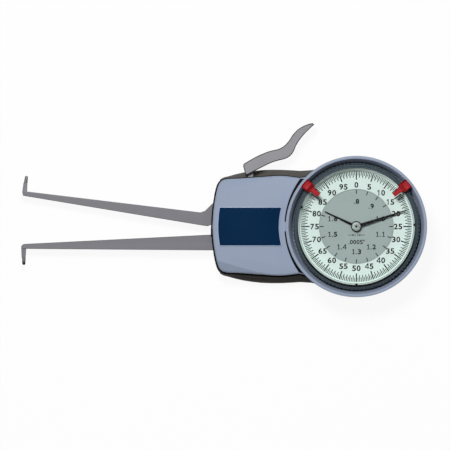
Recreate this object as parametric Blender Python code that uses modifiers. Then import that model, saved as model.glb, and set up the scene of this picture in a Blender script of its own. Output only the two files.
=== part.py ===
"""Dial caliper gauge for bores and grooves, lying on its back, dial up.

Lengths are in metres. The origin is on the rear face, under the dial's axis.
+X runs from the contacts to the dial, and +Z points out of the dial.
"""

import math

import bmesh
import bpy
from mathutils import Matrix, Vector

# Reading shown, in inches
READING = 1.620
ZERO_READING = 0.800
READING_PER_MAIN_TURN = 0.100
READING_PER_SMALL_TURN = 1.000
MAIN_TURNS_PER_ARM_TURN = 250
INCH = 0.0254

# Clearances
GAP = 0.0003
SLIDE = 0.0004
OVERRUN = 0.001
WELD = 0.00001

# Axes: the arm's from the dial's, and the lever's from the arm's
ARM_AXIS_REACH = 0.05185
ARM_AXIS_RISE = 0.01084
LEVER_AXIS_ASIDE = 0.00365
LEVER_AXIS_RISE = 0.00786
LEVER_BOSS_RADIUS = 0.0022
ARM_AXIS = Vector((-ARM_AXIS_REACH, ARM_AXIS_RISE, 0.0))
LEVER_AXIS = ARM_AXIS + Vector((LEVER_AXIS_ASIDE, LEVER_AXIS_RISE, 0.0))

# Bezel and collar, turned about the dial's axis
BEZEL_RADIUS = 0.0295
BEZEL_WIDTH = 0.0023
BEZEL_HEIGHT = 0.0092
BEZEL_LIP = 0.0008
BEZEL_LIP_WIDTH = 0.0016
BEZEL_CHAMFER = 0.0006
RIDGES = 100
RIDGE_DEPTH = 0.00045
CROWN_HEIGHT = 0.0030
RING_GROOVE = 0.0010
RING_RISE = 0.0027
RING_WIRE = 0.00040
COLLAR_PLAY = 0.0005
COLLAR_SLOPE = 0.0024
COLLAR_SLOPE_WIDTH = 0.0012
COLLAR_RIM_WIDTH = 0.0014
COLLAR_EDGE = 0.0007
COLLAR_SINK = 0.0010
COLLAR_STEP = 0.0016
COLLAR_UNDERCUT = 0.0007
SEAT_WIDTH = 0.0030
SEAT_DROP = 0.0005
BEZEL_BORE_RADIUS = BEZEL_RADIUS - BEZEL_WIDTH
BEZEL_LIP_RADIUS = BEZEL_BORE_RADIUS - BEZEL_LIP_WIDTH
COLLAR_BORE_RADIUS = BEZEL_RADIUS + COLLAR_PLAY
COLLAR_MOUTH_RADIUS = COLLAR_BORE_RADIUS + COLLAR_SLOPE_WIDTH
COLLAR_RADIUS = COLLAR_MOUTH_RADIUS + COLLAR_RIM_WIDTH
DRUM_RADIUS = COLLAR_RADIUS - COLLAR_STEP
SEAT_RADIUS = BEZEL_RADIUS - SEAT_WIDTH

# Housing, seen from the front: its nose lies beyond the arm's axis, its sides beyond the lever's
NOSE_LENGTH = 0.01555
SIDE_MARGIN = 0.0029
GRIP_BULGE = 0.0024
WALL = 0.0018
FLOOR = 0.0020
GRIP_TOP = 0.0058
GRIP_ROUND = 0.0030
SPLIT = 0.0129
COVER_HEIGHT = 0.0061
COVER_ROUND = 0.0012
COVER_SKIN = 0.0018
NOSE_REACH = ARM_AXIS_REACH + NOSE_LENGTH
HALF_HEIGHT = LEVER_AXIS.y + LEVER_BOSS_RADIUS + SIDE_MARGIN
GRIP_HALF_HEIGHT = HALF_HEIGHT + GRIP_BULGE
COVER_TOP = SPLIT + COVER_HEIGHT
COVER_UNDER = COVER_TOP - COVER_SKIN
COLLAR_FOOT = COVER_UNDER - SLIDE
COLLAR_WAIST = COLLAR_FOOT + COLLAR_UNDERCUT
SEAT_TOP = COVER_TOP - SEAT_DROP
BEZEL_BOTTOM = SEAT_TOP + GAP
BEZEL_TOP = BEZEL_BOTTOM + BEZEL_HEIGHT
COLLAR_TOP = BEZEL_TOP - COLLAR_SINK

# Shares of NOSE_REACH along and of HALF_HEIGHT up, from the nose to the drum
COVER_SHARES = (
    (1.000, 0.000), (0.994, 0.280), (0.983, 0.520), (0.967, 0.740), (0.945, 0.880),
    (0.900, 0.938), (0.800, 0.942), (0.660, 0.975), (0.516, 1.000), (0.390, 0.955),
)
# Shares of NOSE_REACH along and of GRIP_HALF_HEIGHT up
GRIP_SHARES = (
    (0.985, 0.000), (0.979, 0.260), (0.968, 0.480), (0.953, 0.680), (0.930, 0.835),
    (0.875, 0.885), (0.780, 0.948), (0.650, 0.993), (0.510, 0.998), (0.385, 0.980),
)
DRUM_START = math.radians(132.0)
DRUM_STEPS = 10
CURVE_STEPS = 2

# Dial and crystal
DIAL_THICKNESS = 0.0005
DISC_WIDTH = 0.0103
DISC_BORE_RADIUS = 0.0023
DIAL_FOOT_RADIUS = 0.0009
DIAL_FOOT_INSET = 0.0044
SPACER_WIDTH = 0.0012
SPACER_HEIGHT = 0.0035
CRYSTAL_THICKNESS = 0.0019
DISC_RADIUS = BEZEL_BORE_RADIUS - DISC_WIDTH
SPACER_BORE_RADIUS = BEZEL_BORE_RADIUS - SPACER_WIDTH

# Pointers
MAIN_POINTER_INSET = 0.0033
SMALL_POINTER_INSET = 0.0009
POINTER_WIDTH = 0.0010
POINTER_TIP_WIDTH = 0.0003
POINTER_THICKNESS = 0.0003
POINTER_HUB_RADIUS = 0.0019
SMALL_HUB_RADIUS = 0.0026
CAP_RADIUS = 0.0021
CAP_HEIGHT = 0.0006
SMALL_POINTER_RISE = 0.0007
MAIN_POINTER_RISE = 0.0012
MAIN_POINTER_REACH = BEZEL_BORE_RADIUS - MAIN_POINTER_INSET
SMALL_POINTER_REACH = DISC_RADIUS - SMALL_POINTER_INSET

# Tolerance markers on the bezel
MARKER_ANGLE = math.radians(50.0)
MARKER_BLADE_LENGTH = 0.00485
MARKER_STEP = 0.00215
MARKER_OVERHANG = 0.00205
MARKER_WIDTH = 0.00415
MARKER_NECK_WIDTH = 0.0019
MARKER_TIP_WIDTH = 0.0012
MARKER_BLADE = 0.0006
MARKER_BLOCK = 0.0019
MARKER_LEG_DEPTH = 0.0012
MARKER_STEP_RADIUS = BEZEL_RADIUS - MARKER_STEP
MARKER_OUTER_RADIUS = BEZEL_RADIUS + MARKER_OVERHANG
MARKER_INNER_RADIUS = MARKER_STEP_RADIUS - MARKER_BLADE_LENGTH
MARKER_LEG_RADIUS = BEZEL_RADIUS + COLLAR_PLAY

# Label on the cover
LABEL_INSET = 0.0037
LABEL_GAP = 0.0032
LABEL_LEFT_RADIUS = 0.0540
LABEL_HALF_HEIGHT = 0.0087
LABEL_THICKNESS = 0.0004
LABEL_LEFT = NOSE_REACH - LABEL_INSET
LABEL_RIGHT_RADIUS = COLLAR_RADIUS + LABEL_GAP

# Levels of the movement, each from the one below
PLATE_BOTTOM = 0.0040
PLATE_THICKNESS = 0.0025
ARM_THICKNESS = 0.0040
SECTOR_THICKNESS = 0.0012
WHEEL_THICKNESS = 0.0007
BRIDGE_THICKNESS = 0.0012
PLATE_TOP = PLATE_BOTTOM + PLATE_THICKNESS
ARM_BOTTOM = PLATE_TOP + GAP
ARM_TOP = ARM_BOTTOM + ARM_THICKNESS
ARM_MIDDLE = ARM_BOTTOM + ARM_THICKNESS / 2
SECTOR_BOTTOM = ARM_TOP + GAP
SECTOR_TOP = SECTOR_BOTTOM + SECTOR_THICKNESS
WHEEL_BOTTOM = SECTOR_TOP + 2 * GAP
WHEEL_TOP = WHEEL_BOTTOM + WHEEL_THICKNESS
BRIDGE_BOTTOM = WHEEL_TOP + 2 * GAP
BRIDGE_TOP = BRIDGE_BOTTOM + BRIDGE_THICKNESS
MOTION_BOTTOM = BRIDGE_TOP + GAP
HOUR_BOTTOM = MOTION_BOTTOM + WHEEL_THICKNESS + 2 * GAP
HOUR_TOP = HOUR_BOTTOM + WHEEL_THICKNESS
DIAL_BOTTOM = BEZEL_BOTTOM + BEZEL_LIP + GAP
DIAL_TOP = DIAL_BOTTOM + DIAL_THICKNESS
SPACER_BOTTOM = DIAL_TOP + GAP
SPACER_TOP = SPACER_BOTTOM + SPACER_HEIGHT
CRYSTAL_BOTTOM = SPACER_TOP + GAP
CRYSTAL_TOP = CRYSTAL_BOTTOM + CRYSTAL_THICKNESS
SMALL_POINTER_BOTTOM = DIAL_TOP + SMALL_POINTER_RISE
MAIN_POINTER_BOTTOM = SMALL_POINTER_BOTTOM + MAIN_POINTER_RISE
MARKER_BOTTOM = BEZEL_TOP + GAP

# Gear train: the centre distances are shares of the line from the arm's axis to the dial's
FAN_TEETH = MAIN_TURNS_PER_ARM_TURN
FAN_PINION_TEETH = 14
TRAIN_TEETH = 112
CENTRE_TEETH = 8
CANNON_TEETH = 10
MINUTE_TEETH = 30
HOUR_PINION_TEETH = 9
HOUR_TEETH = 30
ARM_TO_TRAIN_SHARE = 0.7476
TRAIN_TO_CENTRE_SHARE = 0.2832
CENTRE_TO_MOTION = 0.00624
ADDENDUM_SHARE = 0.80
DEDENDUM_SHARE = 1.25
TOOTH_ROOT_SHARE = 0.26
TOOTH_TIP_SHARE = 0.10
ARM_TO_CENTRE = ARM_AXIS.length
ARM_TO_TRAIN = ARM_TO_TRAIN_SHARE * ARM_TO_CENTRE
TRAIN_TO_CENTRE = TRAIN_TO_CENTRE_SHARE * ARM_TO_CENTRE
FAN_MODULE = 2 * ARM_TO_TRAIN / (FAN_TEETH + FAN_PINION_TEETH)
TRAIN_MODULE = 2 * TRAIN_TO_CENTRE / (TRAIN_TEETH + CENTRE_TEETH)
MOTION_MODULE = 2 * CENTRE_TO_MOTION / (CANNON_TEETH + MINUTE_TEETH)
HOUR_MODULE = 2 * CENTRE_TO_MOTION / (HOUR_PINION_TEETH + HOUR_TEETH)
ARM_GEAR_RADIUS = FAN_TEETH * FAN_MODULE / 2
LINE_TO_DIAL = math.atan2(-ARM_AXIS.y, -ARM_AXIS.x)
TRAIN_OFFSET = math.acos(
    (ARM_TO_TRAIN_SHARE ** 2 + 1.0 - TRAIN_TO_CENTRE_SHARE ** 2) / (2 * ARM_TO_TRAIN_SHARE)
)
LINE_TO_TRAIN = LINE_TO_DIAL + TRAIN_OFFSET
LINE_TO_CENTRE = math.radians(-35.0)
TRAIN_AXIS = ARM_AXIS + ARM_TO_TRAIN * Vector((math.cos(LINE_TO_TRAIN), math.sin(LINE_TO_TRAIN), 0.0))
MOTION_AXIS = CENTRE_TO_MOTION * Vector((math.cos(LINE_TO_CENTRE), math.sin(LINE_TO_CENTRE), 0.0))
ARBOUR_RADIUS = 0.0005
SLEEVE_RADIUS = 0.0019
SLEEVE_BORE_RADIUS = 0.0012
CENTRE_BORE_RADIUS = ARBOUR_RADIUS + GAP
FAN_HUB_RADIUS = 0.0042
FAN_RIM = 0.0024
FAN_HALF_SPAN = math.radians(8.6)
FAN_MIDDLE = math.radians(-2.3)
FAN_SCREW_REACH = 0.0076
FAN_SCREW_SPREAD = 0.0018
SPOKE_SIDE = 0.0015
STOP_REACH = 0.0200
STOP_RADIUS = 0.0010

# Arms; the movable one is drawn with its finger upright
ARM_REST_ANGLE = math.radians(-6.9)
ARM_REACH = 0.10116
CONTACT_RISE = 0.0004
CONTACT_LEAD = 0.00049
FINGER_BASE_WIDTH = 0.0024
FINGER_END_WIDTH = 0.0018
CONTACT_LENGTH = 0.0030
CONTACT_RADIUS = 0.00087
ARM_OUTER_DROP = 0.00693
ARM_TIP_DEPTH = 0.00200
ARM_ROOT_DEPTH = 0.00550
ARM_ROOT_LENGTH = 0.00225
ELBOW_RADIUS = 0.0016
ARM_TIP_THICKNESS_SHARE = 0.62
BOSS_RADIUS = 0.0056
TAIL_REACH = 0.0110
TAIL_HALF_WIDTH = 0.0032
PIN_RADIUS = 0.0016
PIN_HEAD = 0.0010
FIXED_RISE = 0.00696
FIXED_TIP_DEPTH = 0.0030
FIXED_ROOT_DEPTH = 0.0068
FIXED_LENGTH_INSIDE = 0.0319
FIXED_SCREW_INSET = 0.0084
FIXED_SCREW_SPACING = 0.0180
ARM_ROOT_REACH = NOSE_LENGTH + ARM_ROOT_LENGTH
FLARE_REACH = NOSE_LENGTH - SLIDE
CONTACT_TIP_Y = ARM_AXIS.y + CONTACT_RISE * math.cos(ARM_REST_ANGLE) - ARM_REACH * math.sin(ARM_REST_ANGLE)
FIXED_CONTACT_X = ARM_AXIS.x - ARM_REACH - CONTACT_LEAD
FIXED_CONTACT_Y = CONTACT_TIP_Y - READING * INCH
FIXED_OUTER_Y = FIXED_CONTACT_Y + FIXED_RISE
FIXED_MIDDLE_Y = FIXED_OUTER_Y + FIXED_ROOT_DEPTH / 2
FIXED_END_X = -NOSE_REACH + FIXED_LENGTH_INSIDE
FIXED_SCREWS = (-NOSE_REACH + FIXED_SCREW_INSET, -NOSE_REACH + FIXED_SCREW_INSET + FIXED_SCREW_SPACING)

# Lever
LEVER_LEFT = 0.0040
LEVER_SPAN = 0.0329
LEVER_BASE = 0.0052
LEVER_RISE = 0.0239
LEVER_BOTTOM = 0.0068
LEVER_THICKNESS = 0.0072
LEVER_EDGE = 0.0006
LEVER_WEB_RISE = 0.0006
LEVER_WEB_THICKNESS = 0.0032
LEVER_PIN_RADIUS = 0.0009
LEVER_PIN_HEAD = 0.0007
LEVER_FINGER_RADIUS = 0.0011
LEVER_NECK_WIDTH = 0.0024
LEVER_NECK_ASIDE = 0.00065
NOTCH_REACH = 0.0049
LEVER_WEB_BOTTOM = LEVER_BOTTOM + LEVER_WEB_RISE
# Shares of LEVER_SPAN along and of LEVER_RISE up, from the lower left corner
LEVER_TOP_SHARES = (
    (0.970, 1.000), (0.880, 0.963), (0.778, 0.888), (0.696, 0.775), (0.647, 0.670),
    (0.583, 0.569), (0.495, 0.498), (0.359, 0.452), (0.198, 0.360), (0.021, 0.226), (0.000, 0.188),
)
LEVER_LOW_SHARES = (
    (0.030, 0.004), (0.058, 0.000), (0.167, 0.075), (0.334, 0.192), (0.447, 0.255),
    (0.583, 0.305), (0.656, 0.360), (0.705, 0.443), (0.744, 0.565), (0.793, 0.674),
    (0.860, 0.787), (0.954, 0.916), (0.997, 0.968),
)

# Screws that hold the shells together
CASE_BOSS_RADIUS = 0.0031
CASE_SHANK_RADIUS = 0.0010
CASE_HEAD_RADIUS = 0.0020
CASE_HEAD_HEIGHT = 0.0012
CASE_HEAD_SINK = 0.0006
CASE_SCREW_GRIP = 0.0019
CASE_NOSE_INSET = 0.0074
CASE_SIDE_INSET = 0.0068
CASE_DRUM_INSET = 0.0056
CASE_DRUM_ANGLE = math.radians(49.0)
CASE_SCREW_END = SPLIT + CASE_SCREW_GRIP

# Screws and pillars of the movement
SMALL_SHANK_RADIUS = 0.0007
SMALL_HEAD_RADIUS = 0.0014
SMALL_HEAD_HEIGHT = 0.0008
PLATE_FOOT_RADIUS = 0.0024
FOOT_SIDE_INSET = 0.0073
FOOT_NOSE_ASIDE = 0.0039
FOOT_DRUM_ASIDE = 0.0274
FOOT_DRUM_RISE = 0.0175
FOOT_SEAT_SHARE = 0.853
PILLAR_RADIUS = 0.0019
PILLAR_ASIDE = 0.0239
PILLAR_DROP = 0.0090
PILLAR_SEAT_SHARE = 0.755
PILLAR_MARGIN = 0.0005
BRIDGE_MARGIN = 0.0032
SPRING_POST_ASIDE = 0.01085
SPRING_POST_RISE = 0.0029
SPRING_POST_RADIUS = 0.0007
SPRING_LUG_REACH = 0.0093
SPRING_RADIUS = 0.0011
SPRING_WIRE = 0.00018
SPRING_TURNS = 7
HAIR_WIRE = 0.00012
HAIR_TURNS = 3
HAIR_INNER_RADIUS = 0.0024
HAIR_OUTER_RADIUS = 0.0062
HAIR_HEIGHT = 0.0005

# Slots in the nose and behind the lever, their liners, and the joint's seal
SLOT_MARGIN = 0.0015
SLOT_RISE = 0.0031
SLOT_DROP = 0.0008
SEAL_WALL = 0.0006
SEAL_DEPTH = 0.0032
LEVER_SLOT_LEFT_REACH = 0.0030
LEVER_SLOT_RIGHT_REACH = 0.0030
LEVER_SEAL_WALL = 0.0004
LEVER_SEAL_DEPTH = 0.0016
GROOVE_WALL = 0.0009
GROOVE_DEPTH = 0.0005
GASKET_WIDTH = 0.0008
SLOT_LOW = FIXED_OUTER_Y - SLOT_MARGIN
SLOT_HIGH = ARM_AXIS.y + SLOT_RISE
SLOT_FLOOR = PLATE_TOP - SLOT_DROP
LEVER_SLOT_LEFT = LEVER_AXIS.x - LEVER_SLOT_LEFT_REACH
LEVER_SLOT_RIGHT = LEVER_AXIS.x + LEVER_SLOT_RIGHT_REACH

# Angles of the pointers from +X
MAIN_ANGLE = math.pi / 2 - math.tau * (READING - ZERO_READING) / READING_PER_MAIN_TURN
SMALL_ANGLE = math.pi / 2 - math.tau * (READING - ZERO_READING) / READING_PER_SMALL_TURN

# Sides of round pieces, by size
FINE = 48
ROUND = 20
SMALL = 14
TINY = 8


def polar(reach, angle):
    return (reach * math.cos(angle), reach * math.sin(angle))


def case_screws():
    """Where the four housing screws stand: two in the nose and two in the drum."""
    nose, side = -NOSE_REACH + CASE_NOSE_INSET, HALF_HEIGHT - CASE_SIDE_INSET
    drum = DRUM_RADIUS - CASE_DRUM_INSET
    return ((nose, side), (nose, -side), polar(drum, CASE_DRUM_ANGLE), polar(drum, -CASE_DRUM_ANGLE))


def plate_screws():
    """Where the frame plate stands on the rear shell's feet."""
    return (
        (ARM_AXIS.x + FOOT_NOSE_ASIDE, -HALF_HEIGHT + FOOT_SIDE_INSET),
        (ARM_AXIS.x + FOOT_DRUM_ASIDE, FOOT_DRUM_RISE),
        polar(FOOT_SEAT_SHARE * SEAT_RADIUS, math.radians(-77.0)),
    )


def pillars():
    """Where the bridge's pillars stand; the second clears the bezel's seat."""
    inside = SEAT_RADIUS - SMALL_HEAD_RADIUS - PILLAR_MARGIN
    return (
        (ARM_AXIS.x + PILLAR_ASIDE, -PILLAR_DROP),
        polar(inside, math.radians(97.0)),
        polar(PILLAR_SEAT_SHARE * SEAT_RADIUS, math.radians(-37.0)),
    )


def spring_post():
    return (ARM_AXIS.x + SPRING_POST_ASIDE, FIXED_OUTER_Y + FIXED_ROOT_DEPTH + SPRING_POST_RISE)


def clear_scene():
    for obj in list(bpy.data.objects):
        bpy.data.objects.remove(obj, do_unlink=True)


def make_collection(name):
    found = bpy.data.collections.get(name) or bpy.data.collections.new(name)
    if name not in bpy.context.scene.collection.children:
        bpy.context.scene.collection.children.link(found)
    return found


def linear(value):
    return value / 12.92 if value <= 0.04045 else ((value + 0.055) / 1.055) ** 2.4


def material(name, code, metallic=0.0, roughness=0.4):
    """A plain surface; its colour is given as a web colour."""
    made = bpy.data.materials.new(name)
    made.use_nodes = True
    shader = made.node_tree.nodes["Principled BSDF"]
    channels = [linear(int(code[i:i + 2], 16) / 255) for i in (0, 2, 4)]
    shader.inputs["Base Color"].default_value = (*channels, 1.0)
    shader.inputs["Metallic"].default_value = metallic
    shader.inputs["Roughness"].default_value = roughness
    made.diffuse_color = (*channels, 1.0)
    return made


def turn(point, angle):
    """A point of the plane turned about the origin."""
    x, y = point
    return (x * math.cos(angle) - y * math.sin(angle), x * math.sin(angle) + y * math.cos(angle))


def arc(centre, radius, start, end, steps):
    """Points along an arc, both ends included."""
    angles = [start + (end - start) * i / steps for i in range(steps + 1)]
    return [(centre[0] + radius * math.cos(a), centre[1] + radius * math.sin(a)) for a in angles]


def circle(radius, steps, centre=(0.0, 0.0)):
    return arc(centre, radius, 0.0, math.tau, steps)[:-1]


def smooth(points, steps):
    """A soft curve through the given points, with this many steps between two of them."""
    made = []
    for i in range(len(points) - 1):
        before = Vector(points[max(i - 1, 0)])
        here, there = Vector(points[i]), Vector(points[i + 1])
        after = Vector(points[min(i + 2, len(points) - 1)])
        for step in range(steps):
            t = step / steps
            spot = 2 * here + (there - before) * t
            spot += (2 * before - 5 * here + 4 * there - after) * t * t
            spot += (3 * here - 3 * there + after - before) * t * t * t
            made.append(tuple(spot / 2))
    made.append(tuple(points[-1]))
    return made


def inset(points, distance):
    """The outline moved inwards; the points run anticlockwise."""
    made = []
    for i, point in enumerate(points):
        before, here = Vector(points[i - 1]), Vector(point)
        after = Vector(points[(i + 1) % len(points)])
        first, second = (here - before).normalized(), (after - here).normalized()
        inward = Vector((-first.y - second.y, first.x + second.x)).normalized()
        lean = inward.dot(Vector((-first.y, first.x)))
        made.append(tuple(here + inward * distance / lean))
    return made


def hull_of_circles(places, steps):
    """The outline of a band stretched round circles, each given by its centre and radius."""
    points = sorted(point for centre, radius in places for point in circle(radius, steps, centre))
    made = []
    for row in (points, points[::-1]):
        start = len(made)
        for x, y in row:
            while len(made) > start + 1:
                (first_x, first_y), (last_x, last_y) = made[-2:]
                if (last_x - first_x) * (y - first_y) > (last_y - first_y) * (x - first_x):
                    break
                made.pop()
            made.append((x, y))
        made.pop()
    return made


def keep(obj, paint=None, parent=None):
    PARTS.objects.link(obj)
    if paint:
        obj.data.materials.append(paint)
    if parent:
        obj.parent = parent
    return obj


def finish_mesh(bm, name):
    bmesh.ops.recalc_face_normals(bm, faces=bm.faces)
    mesh = bpy.data.meshes.new(name)
    bm.to_mesh(mesh)
    bm.free()
    return mesh


def smooth_shading(obj, angle=math.radians(35.0)):
    obj.data.shade_smooth()
    obj.data.set_sharp_from_angle(angle=angle)
    return obj


def plate_mesh(name, loops, thickness):
    """A flat outline with holes, drawn as a filled curve and made a mesh."""
    curve = bpy.data.curves.new(name, "CURVE")
    curve.dimensions = "2D"
    curve.fill_mode = "BOTH"
    curve.extrude = thickness / 2
    for points in loops:
        spline = curve.splines.new("POLY")
        spline.points.add(len(points) - 1)
        for target, (x, y) in zip(spline.points, points):
            target.co = (x, y, 0.0, 1.0)
        spline.use_cyclic_u = True
    guide = bpy.data.objects.new(name, curve)
    CUTTERS.objects.link(guide)
    bpy.context.view_layer.update()
    drawn = guide.evaluated_get(bpy.context.evaluated_depsgraph_get())
    mesh = bpy.data.meshes.new_from_object(drawn)
    bpy.data.objects.remove(guide)
    bm = bmesh.new()
    bm.from_mesh(mesh)
    bmesh.ops.remove_doubles(bm, verts=bm.verts, dist=WELD)
    bmesh.ops.recalc_face_normals(bm, faces=bm.faces)
    bm.to_mesh(mesh)
    bm.free()
    mesh.name = name
    return mesh


def plate(name, loops, bottom, thickness, paint, parent=None, at=(0.0, 0.0), angle=0.0):
    obj = keep(bpy.data.objects.new(name, plate_mesh(name, loops, thickness)), paint, parent)
    obj.location = (at[0], at[1], bottom + thickness / 2)
    obj.rotation_euler.z = angle
    return obj


def turned(name, profile, paint, steps=ROUND, parent=None, at=(0.0, 0.0, 0.0), closed=False):
    """A profile of radius and height, running down its outer side, turned about Z."""
    mesh = bpy.data.meshes.new(name)
    edges = [(i, i + 1) for i in range(len(profile) - 1)]
    if closed:
        edges.append((len(profile) - 1, 0))
    mesh.from_pydata([(radius, 0.0, height) for radius, height in profile], edges, [])
    obj = keep(bpy.data.objects.new(name, mesh), paint, parent)
    obj.location = at
    screw = obj.modifiers.new("Turn", "SCREW")
    screw.steps = screw.render_steps = steps
    screw.use_merge_vertices = True
    screw.merge_threshold = WELD
    screw.use_smooth_shade = True
    return obj


def rod(name, radius, bottom, height, paint, at=(0.0, 0.0), steps=SMALL, parent=None):
    bm = bmesh.new()
    bmesh.ops.create_cone(
        bm, cap_ends=True, segments=steps, radius1=radius, radius2=radius, depth=height
    )
    obj = keep(bpy.data.objects.new(name, finish_mesh(bm, name)), paint, parent)
    obj.location = (at[0], at[1], bottom + height / 2)
    return smooth_shading(obj)


def block(name, low, high, paint=None, parent=None):
    """A box between two corners."""
    low, high = Vector(low), Vector(high)
    bm = bmesh.new()
    bmesh.ops.create_cube(bm, size=1.0)
    bmesh.ops.scale(bm, vec=high - low, verts=bm.verts)
    obj = keep(bpy.data.objects.new(name, finish_mesh(bm, name)), paint, parent)
    obj.location = (low + high) / 2
    return obj


def loft(name, rings, paint, parent=None):
    """Walls between rings of as many points, closed by a cap at both ends."""
    bm = bmesh.new()
    rows = [[bm.verts.new(point) for point in ring] for ring in rings]
    for lower, upper in zip(rows, rows[1:]):
        for i in range(len(lower)):
            j = (i + 1) % len(lower)
            bm.faces.new((lower[i], lower[j], upper[j], upper[i]))
    bm.faces.new(rows[0])
    bm.faces.new(rows[-1])
    return keep(bpy.data.objects.new(name, finish_mesh(bm, name)), paint, parent)


def ring_at(points, height):
    return [(x, y, height) for x, y in points]


def tool(obj):
    """Moves a cutter, or a shape that is joined to another, to its own collection."""
    PARTS.objects.unlink(obj)
    CUTTERS.objects.link(obj)
    obj.hide_render = True
    obj.display_type = "WIRE"
    obj.hide_set(True)
    return obj


def combine(obj, other, operation):
    change = obj.modifiers.new(other.name, "BOOLEAN")
    change.operation = operation
    change.object = tool(other)
    return obj


def cut(obj, other):
    return combine(obj, other, "DIFFERENCE")


def join(obj, other):
    return combine(obj, other, "UNION")


def bevel(obj, width, segments=1, angle=math.radians(40.0)):
    rounded = obj.modifiers.new("Edges", "BEVEL")
    rounded.width = width
    rounded.segments = segments
    rounded.limit_method = "ANGLE"
    rounded.angle_limit = angle
    return obj


def wire(name, points, radius, paint, parent=None, sides=1):
    curve = bpy.data.curves.new(name, "CURVE")
    curve.dimensions = "3D"
    curve.bevel_depth = radius
    curve.bevel_resolution = sides
    curve.use_fill_caps = True
    spline = curve.splines.new("POLY")
    spline.points.add(len(points) - 1)
    for target, point in zip(spline.points, points):
        target.co = (*point, 1.0)
    return keep(bpy.data.objects.new(name, curve), paint, parent)


def axis(name, at, angle=0.0):
    empty = bpy.data.objects.new(name, None)
    empty.empty_display_size = BOSS_RADIUS
    empty.location = at
    empty.rotation_euler.z = angle
    PARTS.objects.link(empty)
    return empty


def gear_teeth(teeth, module, phase, numbers, pointed=False):
    """Outline points of the given teeth; tooth 0 stands at the phase angle."""
    pitch = math.tau / teeth
    tip = (teeth / 2 + ADDENDUM_SHARE) * module
    root = (teeth / 2 - DEDENDUM_SHARE) * module
    tips = ((0.0, tip),) if pointed else ((-TOOTH_TIP_SHARE, tip), (TOOTH_TIP_SHARE, tip))
    corners = ((-TOOTH_ROOT_SHARE, root), *tips, (TOOTH_ROOT_SHARE, root))
    made = []
    for number in numbers:
        for share, radius in corners:
            angle = phase + (number + share) * pitch
            made.append((radius * math.cos(angle), radius * math.sin(angle)))
    return made


def gear_outline(teeth, module, phase=0.0, pointed=False):
    return gear_teeth(teeth, module, phase, range(teeth), pointed)


def meshed(line, teeth):
    """Phase of a driven gear that puts a gap on the line from its driver."""
    return line + math.pi + math.pi / teeth


def screw(name, at, shank_bottom, head_bottom, head_radius, paint, parent=None):
    """A small screw that goes down, its head up."""
    shank_radius = SMALL_SHANK_RADIUS
    top = head_bottom + SMALL_HEAD_HEIGHT
    profile = (
        (0.0, top), (head_radius, top), (head_radius, head_bottom),
        (shank_radius, head_bottom), (shank_radius, shank_bottom), (0.0, shank_bottom),
    )
    return turned(name, profile, paint, TINY, parent, (at[0], at[1], 0.0))


def half_outline(shares, reach, height):
    """The upper half of a shell outline, from the nose to the far side of the drum."""
    side = smooth([(-along * reach, up * height) for along, up in shares], CURVE_STEPS)
    return side + arc((0.0, 0.0), DRUM_RADIUS, DRUM_START, 0.0, DRUM_STEPS)


def whole_outline(half):
    """Both halves, anticlockwise, from the nose along the lower side."""
    lower = [(x, -y) for x, y in half]
    return lower + half[-2:0:-1]


def cover_outline():
    return whole_outline(half_outline(COVER_SHARES, NOSE_REACH, HALF_HEIGHT))


def grip_outline():
    return whole_outline(half_outline(GRIP_SHARES, NOSE_REACH, GRIP_HALF_HEIGHT))


def rear_housing(paint):
    """The rear shell: a tub that bulges into a grip, under a rim that meets the cover."""
    grip, rim = grip_outline(), inset(cover_outline(), GAP)
    inner, low_inner = inset(cover_outline(), WALL + GAP), inset(grip, WALL + GAP)
    rings = (
        ring_at(inset(grip, GRIP_ROUND), 0.0),
        ring_at(inset(grip, GRIP_ROUND / 3), GRIP_ROUND / 4),
        ring_at(grip, GRIP_ROUND),
        ring_at(grip, GRIP_TOP - COVER_ROUND / 2),
        ring_at(inset(grip, COVER_ROUND / 2), GRIP_TOP),
        ring_at(rim, GRIP_TOP + COVER_ROUND / 2),
        ring_at(rim, SPLIT),
        ring_at(inner, SPLIT),
        ring_at(inner, GRIP_TOP),
        ring_at(low_inner, GRIP_TOP - WALL),
        ring_at(inset(grip, GRIP_ROUND + GAP), FLOOR),
    )
    obj = loft("rear_housing", rings, paint)
    for i, at in enumerate(case_screws()):
        join(obj, rod(f"rear_boss_{i}", CASE_BOSS_RADIUS, FLOOR / 2, SPLIT - FLOOR / 2, None, at, SMALL))
    for i, at in enumerate(plate_screws()):
        height = PLATE_BOTTOM - GAP - FLOOR / 2
        join(obj, rod(f"rear_foot_{i}", PLATE_FOOT_RADIUS, FLOOR / 2, height, None, at, SMALL))
        cut(obj, rod(f"rear_pilot_{i}", SMALL_SHANK_RADIUS + GAP, FLOOR / 2, PLATE_BOTTOM, None, at, TINY))
    for i, at in enumerate(case_screws()):
        sink, through = CASE_HEAD_SINK + CASE_HEAD_HEIGHT + GAP, SPLIT + 2 * OVERRUN
        cut(obj, rod(f"rear_hole_{i}", CASE_SHANK_RADIUS + GAP, -OVERRUN, through, None, at, TINY))
        cut(obj, rod(f"rear_sink_{i}", CASE_HEAD_RADIUS + GAP, -OVERRUN, OVERRUN + sink, None, at, SMALL))
    nose, above = -NOSE_REACH - OVERRUN, SPLIT + OVERRUN
    inner = nose + 2 * OVERRUN + SEAL_DEPTH
    cut(obj, block("nose_slot", (nose, SLOT_LOW, SLOT_FLOOR), (inner, SLOT_HIGH, above)))
    under = LEVER_WEB_BOTTOM - LEVER_SEAL_WALL - 2 * GAP
    low = (LEVER_SLOT_LEFT, LEVER_AXIS.y + LEVER_BOSS_RADIUS - GAP, under)
    high = (LEVER_SLOT_RIGHT, HALF_HEIGHT + OVERRUN, above)
    cut(obj, block("lever_slot", low, high))
    return cut(obj, groove("rear_groove", SPLIT - GROOVE_DEPTH))


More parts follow.
